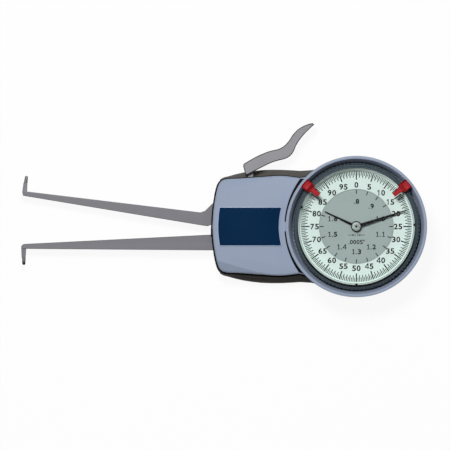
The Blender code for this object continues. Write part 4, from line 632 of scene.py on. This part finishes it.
# %% Collar
COLLAR_STEPS = 192
cut(shell, plate_piece("opening", circle(30.8, COLLAR_STEPS), 16.9, 22.0))
collar_section = [
    (26.50, 16.80), (26.50, 18.35), (26.65, 18.50), (30.00, 18.50), (30.00, 22.80), (29.86, 22.98),
    (30.90, 25.70), (31.02, 25.84), (31.20, 26.66),
]
collar_section += arc((31.50, 26.70), 0.30, math.radians(172.0), NORTH, 5)
collar_section += arc((32.15, 26.55), 0.45, NORTH, 0.0, 6) + [(32.60, 17.60), (32.40, 17.40), (31.10, 16.80)]
unite(shell, spun_piece("collar", collar_section, COLLAR_STEPS))
finish_piece(tidy_mesh(shell), "housing", shell_paint, "cover", "front_housing", degrees=19.0)

# %% [markdown]
# The rear shell is a soft-feel moulding whose grip strips stand out on both sides and run on to the
# collar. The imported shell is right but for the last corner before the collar, so a copy of it is used
# and the corner's points are drawn out to the strip's edge.

# %% Rear shell
CORNER_X, CORNER_REACH = -20.7, 2.96
CORNER_POINTS = ((0.0, 19.54), (0.75, 21.87), (3.0, 23.04), (5.2, 23.04), (5.8, 22.34))
rear_shell = copy_of_node("rear_housing", "rear_shell")
moved = 0
for vert in rear_shell.data.vertices:
    x, y, z = vert.co / MM
    if abs(x - CORNER_X) < 0.5 and any(abs(z - level) < 0.05 and abs(abs(y) - height) < 0.06
                                       for level, height in CORNER_POINTS):
        vert.co.y += math.copysign(CORNER_REACH * MM, y)
        moved += 1
print("corner points drawn out:", moved)
finish_piece(rear_shell, "housing", grip_plastic, "grip", "rear_housing")

# %% [markdown]
# Where the two shells meet, a rubber seal fills the joint, and its thin lip stands a little proud. It
# is the dark line round the cover. It is the cover's own outline twice, pushed outwards and inwards,
# and the inner one is cut out of the outer one. The lip is shifted downwards and the cover's lower half is
# narrower, so the black is wider along the bottom: there it is painted shade of the lower rim, besides the
# dark joint.

# %% Joint seal with its lip
def outline_ring(name, outer, inner, bottom, top, shift=(0.0, 0.0)):
    """A flat ring between two insets of the cover's outline, the outer one shifted."""
    outside = [(x + shift[0], y + shift[1]) for x, y in inset(cover_outline, outer)]
    return cut(plate_piece(name, outside, bottom, top),
               plate_piece("inside", inset(cover_outline, inner), bottom - 1.0, top + 1.0))


# The downward shift widens the lip along the bottom: painted shade of the lower rim.
LIP_SHADE_SHIFT = (-0.10, -0.25)
seal = outline_ring("joint_seal", 1.2, 1.95, 12.5, 13.55)
unite(seal, outline_ring("lip", -0.60, 1.6, 12.96, 13.14, LIP_SHADE_SHIFT))
finish_piece(tidy_mesh(seal), "housing", seal_rubber, "rubber", "housing_gasket")

# %% [markdown]
# A sheet of the same black rubber lies in the moat on the nose side of the collar. It is painted
# shade, which makes the moat's shadow as deep as in the photograph. The sheet is the moat's own shape, a
# little lower than its rim.

# %% Painted shade in the moat
SHADE_SHEET_GAP = 0.02
moat_shade_sheet = plate_piece("moat_painted_shade", circle(MOAT_RADIUS - SHADE_SHEET_GAP, 160, MOAT_CENTRE), MOAT_FLOOR + SHADE_SHEET_GAP,
                    MOAT_FLOOR + 0.3)
tab_half = TAB_HALF + SHADE_SHEET_GAP
cut(moat_shade_sheet, plate_piece("hole", circle(32.6 + SHADE_SHEET_GAP, COLLAR_STEPS), 17.0, 20.0),
    plate_piece("tab", block(-34.0, -tab_half, -30.0, tab_half), 17.0, 22.0))
combine(moat_shade_sheet, plate_piece("cover", inset(cover_outline, 0.5), 17.0, 20.0), "INTERSECT")
finish_piece(tidy_mesh(moat_shade_sheet), "housing", seal_rubber, "rubber")

# %% [markdown]
# The label is a thin printed plate, curved like the nose on one side and like the collar on the
# other, with a pale line round a bare navy field. Two plates make it: the pale one is a little larger
# and lies under the navy one.

# %% Label
def label_outline(grow):
    """The label's outline, grown by a margin, anticlockwise from its upper left corner."""
    half = 8.7 + grow
    left_radius, right_radius = 54.0, 35.8 - grow
    left_centre = left_radius - 63.7 - grow
    left, right = math.asin(half / left_radius), math.asin(half / right_radius)
    points = arc((left_centre, 0.0), left_radius, math.pi - left, math.pi + left, 24)
    return points + arc((0.0, 0.0), right_radius, math.pi + right, math.pi - right, 24)


border = soften(plate_piece("label_border", label_outline(0.36), 18.98, 19.42), 0.08)
finish_piece(border, "housing", label_line, "label")
field = soften(plate_piece("label_field", label_outline(0.0), 19.30, 19.62), 0.06)
finish_piece(field, "housing", label_navy, "label", "label_plate")

# %% [markdown]
# The bezel is turned from aluminium and its crown is cut with a hundred ridges for the fingers. A
# section is spun in eight hundred steps, eight for each ridge, and the crown's outer points are then
# pushed in by a wave. Two turned grooves part the lip, a plain ring and the ridged ring.

# %% Bezel
RIDGES, STEPS_PER_RIDGE = 100, 8
RIDGE_START, RIDGE_RUN, RIDGE_DEPTH, RIDGE_DIP = 28.80, 0.24, 0.45, 0.35
bezel = spun_piece("ridged_bezel", [
    (27.20, 19.60), (27.20, 26.02), (27.25, 26.10), (27.33, 26.10), (27.42, 26.02), (27.78, 25.55),
    (27.86, 25.52), (27.92, 25.80), (28.00, 26.10), (28.28, 25.90), (28.50, 25.62), (28.62, 25.54),
    (28.78, 25.54), (28.88, 26.10), (29.02, 26.40), (29.24, 26.30), (29.42, 26.02), (29.50, 25.50),
    (29.50, 24.62), (29.30, 24.42), (29.05, 24.38), (29.05, 22.20), (28.05, 22.20), (28.05, 20.80),
    (29.05, 20.80), (29.05, 18.95), (28.90, 18.80), (25.60, 18.80), (25.60, 19.60),
], RIDGES * STEPS_PER_RIDGE)
for vert in bezel.data.vertices:
    radius, height = vert.co.xy.length / MM, vert.co.z / MM
    if height > 24.40 and radius > RIDGE_START:
        fade = min((radius - RIDGE_START) / RIDGE_RUN, 1.0)
        wave = 0.5 - 0.5 * math.cos(RIDGES * math.atan2(vert.co.y, vert.co.x))
        shorter = 1.0 - RIDGE_DEPTH * fade * wave / radius
        vert.co.x, vert.co.y = vert.co.x * shorter, vert.co.y * shorter
        vert.co.z -= RIDGE_DIP * MM * fade * wave * float(height > 25.7)
finish_piece(bezel, "bezel", bezel_black, "bezel", "bezel", degrees=45.0)
# The crown's top faces take the lighter slate, painted light for their lit slopes; the two grooves keep the
# black as painted shade.
bezel.data.materials.append(bezel_painted_light)
for face in bezel.data.polygons:
    radius = face.center.xy.length / MM
    groove_shade = abs(radius - 28.70) < 0.10 or abs(radius - 27.78) < 0.05
    face.material_index = int(face.center.z > 25.4 * MM and 27.21 < radius < 29.40 and not groove_shade)

# %% [markdown]
# A black rubber ring is pressed in between the crystal and the bezel, and three small clips hold the
# crystal down. The ring is turned; each clip is a block softened on all its edges. On the lower side a
# black crescent lies over the lip, painted shade where the lip's slope is dark. It is a round plate, set off
# downwards, less the ring's hole.

# %% Crystal seal, clips and painted shade on the lip
CRESCENT_RADIUS, CRESCENT_DROP = 27.30, 0.70
CLIP_ANGLES = (math.radians(160.2), math.radians(1.7), -NORTH)
crystal_seal = spun_piece("crystal_seal", [
    (27.02, 25.50), (27.02, 25.86), (27.07, 25.96), (27.18, 26.00), (27.18, 25.50)], 160)
finish_piece(crystal_seal, "bezel", seal_rubber, "rubber")
# The crescent, off-centre downwards, is painted shade on the lip's lower side.
lip_shade_crescent = plate_piece("lip_painted_shade", circle(CRESCENT_RADIUS, 160, (0.0, -CRESCENT_DROP)), 25.60, 26.18)
cut(lip_shade_crescent, plate_piece("hole", circle(27.00, 160), 25.0, 27.0))
finish_piece(tidy_mesh(lip_shade_crescent), "bezel", seal_rubber, "rubber")
clip = soften(plate_piece("clip", block(26.3, -0.55, 27.3, 0.55), 25.7, 26.3), 0.15)
finish_piece(ring_of_copies(clip, "crystal_clips", CLIP_ANGLES), "bezel", pointer_black, "bezel")

# %% [markdown]
# The crystal is a clear disc, a little domed. Under it lie the dial's two parts: the outer ring turns
# with the bezel, and the grey disc stays. The spacer between ring and crystal is as pale as the ring.

# %% Crystal, dial ring, disc and spacer
crystal = spun_piece("domed_crystal", [
    (0.0, 24.40), (26.93, 24.40), (26.98, 24.45), (26.98, 25.40), (26.80, 25.62), (24.0, 25.80),
    (18.0, 26.03), (12.0, 26.19), (6.0, 26.28), (0.0, 26.30)], 128)
finish_piece(crystal, "bezel", clear_crystal, "glass", "crystal", degrees=30.0)
ring = spun_piece("dial_annulus", [
    (17.15, 19.90), (17.15, 20.36), (17.19, 20.40), (26.90, 20.40), (26.90, 19.90)], 160)
finish_piece(ring, "bezel", dial_enamel, "dial", "dial_ring")
disc = spun_piece("dial_centre", [
    (2.3, 19.90), (2.3, 20.36), (2.34, 20.40), (16.96, 20.40), (17.0, 20.36), (17.0, 19.90)], 160)
for angle in (math.radians(100.0), math.radians(250.0)):
    unite(disc, plate_piece("foot", circle(0.9, 20, polar(12.5, angle)), 14.5, 20.1))
finish_piece(tidy_mesh(disc), "housing", disc_enamel, "disc", "dial_disc")
spacer = spun_piece("pale_spacer", [
    (25.95, 20.70), (26.15, 24.10), (26.22, 24.20), (27.06, 24.20), (27.06, 20.70)], 160)
finish_piece(spacer, "bezel", milky_plastic, "dial", "spacer_ring")
spacer_line = spun_piece("spacer_line", [(26.32, 24.19), (26.32, 24.22), (26.46, 24.22), (26.46, 24.19)], 160)
finish_piece(spacer_line, "bezel", fine_ink, "dial")

# %% [markdown]
# The scale is printed ink, a few hundredths of a millimetre thick. One stroke is modelled for each
# length, and turned copies of it are joined into a ring. A hundred short strokes stand for half
# thousandths of an inch, the longer ones for whole ones and the longest for every fifth.

# %% Strokes of the scale
INK_BOTTOM, INK_TOP, STROKE_END = 20.39, 20.42, 25.45
FIFTHS = range(0, 100, 5)
UNITS = [number for number in range(100) if number not in FIFTHS]
for name, inner, outer, width, numbers, of, body, ink, slot in (
    ("half_strokes", 23.50, STROKE_END, 0.33, range(1, 200, 2), 200, "bezel", fine_ink, "dial"),
    ("unit_strokes", 22.50, STROKE_END, 0.40, UNITS, 100, "bezel", fine_ink, "dial"),
    ("fifth_strokes", 21.50, STROKE_END, 0.54, FIFTHS, 100, "bezel", print_ink, "dial"),
    ("inner_strokes", 15.05, 16.85, 0.42, range(17), 20, "housing", print_ink, "disc"),
):
    first = plate_piece("stroke", block(inner, -width / 2, outer, width / 2), INK_BOTTOM, INK_TOP)
    strokes = ring_of_copies(first, name, [NORTH - math.tau * number / of for number in numbers])
    finish_piece(strokes, body, ink, slot)

# %% [markdown]
# The numbers are printed too. The ones, the fours and the dots are drawn as plates, and the other
# digits are text in Blender's own plain font, which becomes a mesh before it is put in place and is
# scaled to its printed height. The outer numbers run clockwise from 0 to 95 at the ring's inner side,
# and the inner ones count tenths of an inch.

# %% Numbers
DIGIT_WIDTH, QUOTE_WIDTH, FONT_HEIGHT = 0.68, 0.34, 0.7
DOT = ((-0.095, 0.0), (0.095, 0.0), (0.095, 0.19), (-0.095, 0.19))
ONE = ((-0.03, 0.0), (0.13, 0.0), (0.13, 1.0), (0.01, 1.0), (-0.21, 0.84), (-0.21, 0.67), (-0.03, 0.78))
FOOTED_ONE = ((-0.20, 0.0), (0.30, 0.0), (0.30, 0.12), (0.13, 0.12), *ONE[2:], (-0.03, 0.12), (-0.20, 0.12))
FOUR_STEM = ((0.09, 0.0), (0.25, 0.0), (0.25, 0.21), (0.36, 0.21), (0.36, 0.35), (0.25, 0.35), (0.25, 1.0),
             (0.09, 1.0))
FOUR_SIDE = ((-0.36, 0.21), (0.09, 0.21), (0.09, 0.35), (-0.18, 0.35), (0.09, 0.74), (0.09, 1.0),
             (-0.36, 0.38))


def letter_piece(mark, middle, base, height, bold):
    """A mark of the font as a thin mesh, from its middle and base line to its height."""
    object_mode()
    bpy.ops.object.select_all(action="DESELECT")
    bpy.ops.object.text_add(location=(0.0, 0.0, 0.0))
    font = bpy.context.object.data
    font.body, font.resolution_u, font.extrude, font.offset = mark, 3, 0.5, bold
    bpy.ops.object.convert(target="MESH")
    letter = bpy.context.object
    low, high = min(v.co.x for v in letter.data.vertices), max(v.co.x for v in letter.data.vertices)
    wide = (DIGIT_WIDTH if mark.isdigit() else QUOTE_WIDTH) * height / (high - low)
    for vert in letter.data.vertices:
        vert.co.x = ((vert.co.x - (low + high) / 2) * wide + middle) * MM
        vert.co.y = ((vert.co.y + bold) * height / (FONT_HEIGHT + 2 * bold) + base) * MM
        vert.co.z = (INK_BOTTOM if vert.co.z < 0.0 else INK_TOP) * MM
    return letter


def printed(text, centre, height, digit_step, dot_step, bold, one=ONE):
    """A number whose marks stand in the middle of their steps; steps and shapes are shares of the height."""
    steps = [digit_step if mark.isdigit() else dot_step for mark in text]
    left, base = centre[0] - sum(steps) * height / 2, centre[1] - height / 2
    parts = []
    for mark, step in zip(text, steps):
        middle = left + step * height / 2
        left += step * height
        drawn = {".": (DOT,), "1": (one,), "4": (FOUR_STEM, FOUR_SIDE)}.get(mark, ())
        for shape in drawn:
            outline = [(middle + x * height, base + y * height) for x, y in shape]
            parts.append(plate_piece("mark", outline, INK_BOTTOM, INK_TOP))
        if not drawn:
            parts.append(letter_piece(mark, middle, base, height, bold))
    return joined(parts, "number")


def number_ring(name, texts, radius, height, turn, digit_step, dot_step, bold, one=ONE):
    """Numbers at equal turns round the dial, clockwise from the top, all upright."""
    places = [polar(radius, NORTH - turn * i) for i in range(len(texts))]
    return tidy_mesh(joined([printed(text, place, height, digit_step, dot_step, bold, one)
                             for text, place in zip(texts, places)], name))


fives = [str(number) for number in FIFTHS]
outer_numbers = number_ring("outer_numbers", fives, 19.15, 2.62, math.tau / 20, 0.79, 0.4, 0.030)
finish_piece(outer_numbers, "bezel", print_ink, "dial")
tenths = [".8", ".9", "1.0", "1.1", "1.2", "1.3", "1.4", "1.5", "1.6"]
inner_numbers = number_ring("inner_numbers", tenths, 11.55, 2.32, math.tau / 10, 0.80, 0.42, 0.033,
                            FOOTED_ONE)
finish_piece(inner_numbers, "housing", print_ink, "disc")

# %% Step mark
SIGN_Y, STEP_Y = -3.95, -7.1
sign_parts = []
for side in (-1.0, 1.0):
    for outline in (block(0.50, -0.5, 0.72, 0.5), [(0.85, 0.0), (1.80, -0.45), (1.80, 0.45)],
                    block(1.70, -0.11, 3.95, 0.11)):
        points = [(side * x, SIGN_Y + y) for x, y in outline]
        sign_parts.append(plate_piece("sign", points, INK_BOTTOM, INK_TOP))
sign_parts.append(tidy_mesh(printed(".0005\"", (0.0, STEP_Y), 2.0, 0.76, 0.38, 0.022)))
finish_piece(joined(sign_parts, "step_mark"), "housing", print_ink, "disc")

# %% [markdown]
# The pointers are thin lacquered blades on round hubs. The large one reads thousandths and tapers
# from its hub to a fine tip, and the small one, ten times slower, lies close above the disc. A pale
# turned cap closes them, with the arbour's black end in its middle.

# %% Pointers
MAIN_ANGLE, SMALL_ANGLE = NORTH - math.tau * 8.2, NORTH - math.tau * 0.82


def pointer_piece(name, angle, reach, root, tip, hub, bore, bottom, top):
    """A tapering blade from its hub to its tip, turned to its reading."""
    open_angle = math.asin(root / hub)
    points = [(reach - tip, -tip), (reach, 0.0), (reach - tip, tip)]
    points += arc((0.0, 0.0), hub, open_angle, math.tau - open_angle, 40)
    turned = [(x * math.cos(angle) - y * math.sin(angle), x * math.sin(angle) + y * math.cos(angle))
              for x, y in points]
    blade = cut(plate_piece(name, turned, bottom, top),
                plate_piece("bore", circle(bore, 24), bottom - 1.0, top + 1.0))
    return soften(blade, 0.05, 1)


main_pointer = pointer_piece("main_blade", MAIN_ANGLE, 24.05, 0.74, 0.25, 1.9, 0.8, 22.3, 22.6)
finish_piece(main_pointer, "main_pointer", pointer_black, "pointer", "main_pointer")
small_pointer = pointer_piece("small_blade", SMALL_ANGLE, 16.15, 0.58, 0.24, 2.5, 1.9, 21.1, 21.4)
finish_piece(small_pointer, "small_pointer", pointer_black, "pointer", "small_pointer")
print("main pointer at", round(math.degrees(MAIN_ANGLE) % 360, 1), "degrees from +X")

# %% Pointer cap
cap = spun_piece("turned_cap", [
    (0.0, 22.90), (1.95, 22.90), (2.08, 23.02), (2.08, 23.26), (1.98, 23.42), (1.80, 23.48), (0.78, 23.50),
    (0.66, 23.46), (0.60, 23.36), (0.0, 23.36)], 64)
finish_piece(cap, "main_pointer", cap_steel, "pointer", "pointer_cap", degrees=30.0)
arbour_end = spun_piece("arbour_end", [
    (0.0, 23.34), (0.46, 23.34), (0.46, 23.44), (0.38, 23.50), (0.0, 23.50)], 32)
finish_piece(arbour_end, "main_pointer", pointer_black, "pointer", degrees=30.0)

# %% [markdown]
# A tolerance marker is one red moulding that slides round the bezel: a block to push with the thumb,
# a thin flange in front of it, and a blade that points at the scale. Its flanks flare out downwards,
# as a mould needs, so they stay dark on the side away from the light. It is made lying on +X, with a
# wider foot and a narrower top bridged by a sloping bevel, and a turned copy goes to each side.

# %% Tolerance markers
MARKER_HALF, MARKER_FOOT, FOOT_EDGE = 2.25, 28.30, 0.12
MARKER_SPREAD = math.radians(50.0)


def flared(name, outline, top, flare):
    """A plate whose top face is inset, and whose first top edge is let down to a thin foot."""
    piece = plate_piece(name, outline, MARKER_FOOT, top)
    rim = [vert.index for vert in piece.data.vertices if vert.co.z > (top - 0.001) * MM]
    edit(piece)
    choose(piece, lambda face: face.normal.z > 0.9)
    bpy.ops.mesh.inset(thickness=flare * MM)
    object_mode()
    for index in rim:
        piece.data.vertices[index].co.z = (MARKER_FOOT + FOOT_EDGE) * MM
    return tidy_mesh(piece)


def marker_piece(name, angle, body):
    """Block, flange, blade, neck and leg of a marker, made on +X and turned to its place."""
    marker = soften(flared(name, block(28.05, -MARKER_HALF, 31.50, MARKER_HALF), 30.20, 0.30), 0.40, 3, 30.0)
    blade = [(22.45, -0.95), (26.30, -1.30), (26.90, -1.55), (27.40, -2.05),
             (27.40, 2.05), (26.90, 1.55), (26.30, 1.30), (22.45, 0.95)]
    unite(marker, flared("flange", block(27.10, -MARKER_HALF, 28.00, MARKER_HALF), 29.00, 0.15),
          flared("blade", blade, 29.02, 0.28),
          plate_piece("neck", block(27.60, -1.9, 28.50, 1.9), 28.32, 28.62),
          plate_piece("leg", block(30.05, -0.9, 30.90, 0.9), 27.12, 28.60))
    marker.rotation_euler = (0.0, 0.0, angle)
    return finish_piece(marker, body, marker_red, "marker", body, degrees=40.0)


marker_piece("red_marker_left", NORTH + MARKER_SPREAD, "marker_left")
marker_piece("red_marker_right", NORTH - MARKER_SPREAD, "marker_right")

# %% [markdown]
# The arms are profiles cut from a ground plate. The imported arms are right where they run inside the
# housing, so a copy of each is used. Outside, its two long edges are set to the lines that the
# photograph shows, and its rims are broken with a small bevel. Its side and bevel faces take a darker paint,
# painted shade for the dark line along its edges.

# %% Arms
NOSE_X, ELBOW_X = -66.0, -153.9
FINGER_END_LOW, FINGER_END_HIGH = -14.0, 19.9
ARM_ROOT = (((-73.53, 6.65), (-71.9, 6.50)), ((-71.85, 7.26), (-69.7, 7.30)),
            ((-67.1, 11.11), (-66.5, 10.55)))


def drawn_between(near, far):
    """A value that changes evenly between two places along X, each a pair of place and value."""
    return lambda x: near[1] + (far[1] - near[1]) * (x - near[0]) / (far[0] - near[0])


def dressed_arm(node, name, middle, upper_shift, lower_shift, finger_shift, root=()):
    """A copy of an arm with its outside edges and the corners at its root moved to measured places."""
    arm = copy_of_node(node, name)
    edit(arm, everything=True)
    bpy.ops.mesh.dissolve_limited(angle_limit=math.radians(1.0))
    object_mode()
    for vert in arm.data.vertices:
        x, y = vert.co.xy / MM
        if x < NOSE_X and FINGER_END_LOW < y < FINGER_END_HIGH:
            vert.co.y += (upper_shift(x) if y > middle(x) else lower_shift(x)) * MM
            vert.co.x += finger_shift * MM if x < ELBOW_X else 0.0
        for old, new in root:
            if (vert.co.xy / MM - Vector(old)).length < 0.3:
                vert.co.xy = Vector(new) * MM
    edit(arm, "EDGE")
    choose(arm, lambda edge: all(v.co.x < NOSE_X * MM for v in edge.verts)
           and edge.calc_face_angle(0.0) > math.radians(50.0)
           and abs(edge.verts[0].co.z - edge.verts[1].co.z) < 1.0 * MM, "EDGE")
    bpy.ops.mesh.bevel(offset=0.22 * MM, segments=2, affect="EDGES")
    object_mode()
    return arm


still_arm = dressed_arm(
    "fixed_arm", "still_arm", lambda x: -9.0, drawn_between((-72.0, 0.20), (-150.0, -0.23)),
    drawn_between((-94.0, 0.0), (-150.0, 0.46)), 0.12)
finish_piece(still_arm, "housing", arm_chrome, "arm", "fixed_arm", degrees=30.0, edge_shade_paint=arm_edge_shade)
swinging_arm = dressed_arm(
    "movable_arm", "swinging_arm", drawn_between((-72.0, 3.4), (-150.0, 14.8)), lambda x: 0.17,
    drawn_between((-72.0, -0.18), (-150.0, -0.04)), 0.26, ARM_ROOT)
finish_piece(swinging_arm, "movable_arm", arm_chrome, "arm", "movable_arm", degrees=30.0, edge_shade_paint=arm_edge_shade)

# %% [markdown]
# Each arm ends in a hard contact, a round-nosed pin whose tip touches the bore. Both are turned; the
# lower tip is dark carbide and the upper one has worn to grey. A section is spun upright, and the
# whole piece is then laid along its finger.

# %% Contacts
CONTACT_LENGTH, ARM_LEVEL, SWING_ANGLE = 3.29, 8.8, math.radians(-6.9)
SHANK_SECTION = ((0.0, 0.0), (0.84, 0.0), (0.84, 0.25), (0.80, 0.9), (0.78, 1.62), (0.70, 1.70), (0.0, 1.70))
TIP_SECTION = ((0.0, 1.66), (0.72, 1.66), (0.76, 1.74), (0.76, 2.45), (0.72, 2.72), (0.62, 2.95),
               (0.46, 3.13), (0.25, 3.25), (0.0, 3.29))


def contact_piece(name, x, y, angle, tip_paint, body, node):
    """A steel shank and a hard tip, spun about Z and laid along an angle in the arm's plane."""
    for part, section, paint, stands_for in (
        ("_shank", SHANK_SECTION, arm_chrome, ()), ("_tip", TIP_SECTION, tip_paint, (node,))
    ):
        pin = spun_piece(name + part, [(r, z - CONTACT_LENGTH) for r, z in section], 40)
        pin.rotation_euler = (-NORTH, 0.0, angle - NORTH)
        pin.location = (x * MM, y * MM, ARM_LEVEL * MM)
        finish_piece(pin, body, paint, "carbide", *stands_for, degrees=40.0)


contact_piece("lower_contact", -153.40, -17.76, -NORTH, dark_carbide, "housing", "fixed_contact")
contact_piece("upper_contact", -152.12, 23.38, NORTH + SWING_ANGLE, worn_carbide, "movable_arm",
              "movable_contact")

# %% [markdown]
# The lever is a curved paddle for the palm, on a neck that goes into the housing, where a round
# finger drives the arm. The paddle follows the curve that the photograph shows, flowed through its
# points, and a wide bevel runs all round it. Its side and bevel faces take a darker paint, painted shade for
# the dark line of its edge.

# %% Lever
LEVER_AXIS, LEVER_CORNER = Vector((-48.2, 18.7)), Vector((-4.0, 5.2))
LEVER_SPAN, LEVER_RISE = 32.9, 23.86
PADDLE_TOP = (
    (0.970, 1.000), (0.880, 0.963), (0.778, 0.888), (0.696, 0.775), (0.647, 0.670), (0.583, 0.569),
    (0.495, 0.498), (0.359, 0.452), (0.198, 0.360), (0.040, 0.238), (0.006, 0.205), (0.000, 0.160),
)
PADDLE_LOW = (
    (0.030, 0.004), (0.058, 0.000), (0.167, 0.075), (0.334, 0.192), (0.447, 0.255), (0.583, 0.305),
    (0.656, 0.360), (0.705, 0.443), (0.744, 0.565), (0.793, 0.674), (0.860, 0.787), (0.954, 0.916),
    (0.997, 0.968),
)
corner = LEVER_AXIS + LEVER_CORNER
paddle = []
for shares in (PADDLE_LOW, PADDLE_TOP):
    paddle += flowing([(corner.x + a * LEVER_SPAN, corner.y + u * LEVER_RISE) for a, u in shares], 5)
hand_lever = plate_piece("hand_lever", paddle, 6.8, 14.0)
edit(hand_lever, "EDGE")
count = choose(hand_lever, lambda edge: abs(edge.verts[0].co.z - edge.verts[1].co.z) < 0.1 * MM
               and edge.calc_face_angle(0.0) > math.radians(60.0), "EDGE")
bpy.ops.mesh.bevel(offset=0.42 * MM, segments=2, affect="EDGES")
object_mode()
print("paddle rim edges:", count)

# %% Neck, boss and finger
WEB_BOTTOM, WEB_TOP = 7.4, 10.6
ARM_AXIS = Vector((-51.85, 10.84))
back = (ARM_AXIS - LEVER_AXIS).normalized()
finger = LEVER_AXIS + back * ((ARM_AXIS - LEVER_AXIS).length - 4.9)
side = Vector((-back.y, back.x)) * 1.1
neck = block(LEVER_AXIS.x - 1.85, LEVER_AXIS.y, LEVER_AXIS.x + 0.55, LEVER_AXIS.y + 8.8)
web = [tuple(finger - side), tuple(LEVER_AXIS - side), tuple(LEVER_AXIS + side), tuple(finger + side)]
for outline in (neck, circle(2.2, 48, LEVER_AXIS), circle(1.1, 48, finger), web):
    unite(hand_lever, plate_piece("inner_part", outline, WEB_BOTTOM, WEB_TOP))
cut(hand_lever, plate_piece("bore", circle(1.2, 40, LEVER_AXIS), WEB_BOTTOM - 1.0, WEB_TOP + 1.0))
finish_piece(tidy_mesh(hand_lever), "lever", lever_chrome, "lever", "lever", degrees=30.0,
             edge_shade_paint=lever_edge_shade)

# %% [markdown]
# The arms leave the housing through a rubber frame in the nose. Its front follows the cover's curve,
# and between the arms a short lip stands proud. The frame is a thick plate along the curve with a
# window cut through it.

# %% Nose seal
SEAL_LOW, SEAL_HIGH, SEAL_WALL, SEAL_BACK, SEAL_STEPS = -12.0, 13.6, 0.6, -63.9, 16
front = []
for step in range(SEAL_STEPS + 1):
    y = SEAL_HIGH + (SEAL_LOW - SEAL_HIGH) * step / SEAL_STEPS
    front.append((min(x for x, up in cover_outline if abs(up - y) < 1.6) + 0.45, y))
nose_seal = plate_piece("nose_seal", front + [(SEAL_BACK, SEAL_LOW), (SEAL_BACK, SEAL_HIGH)], 6.0, 12.1)
window = block(-70.0, SEAL_LOW + SEAL_WALL, -60.0, SEAL_HIGH - SEAL_WALL)
cut(nose_seal, plate_piece("window", window, 6.6, 11.5))
lip = [(-67.15, -4.55), (-66.0, -4.7), (-66.0, -0.6), (-67.15, -0.75)]
unite(nose_seal, plate_piece("lip", lip, 11.52, 12.08))
finish_piece(tidy_mesh(nose_seal), "housing", seal_rubber, "rubber", "arm_seal")

# %% [markdown]
# Four screws hold the shells together from behind. Their heads are turned with a small chamfer and
# get a cross recess. One screw is modelled and each place gets a copy with its own mesh.

# %% Housing screws
first_screw = spun_piece("case_screw", [
    (0.0, 0.60), (1.80, 0.60), (1.96, 0.72), (2.00, 0.90), (2.00, 1.80), (1.00, 1.80), (1.00, 14.55),
    (0.80, 14.80), (0.0, 14.80)], 40)
for half_x, half_y in ((1.25, 0.24), (0.24, 1.25)):
    cut(first_screw, plate_piece("slot", block(-half_x, -half_y, half_x, half_y), 0.0, 1.2))
for number, (x, y) in enumerate(SCREW_PLACES, 1):
    screw = twin(first_screw.data, f"case_screw_{number}")
    screw.location = (x * MM, y * MM, 0.0)
    finish_piece(screw, "housing", turned_steel, "steel", f"housing_screw_{number}", degrees=30.0)
bpy.data.objects.remove(first_screw)
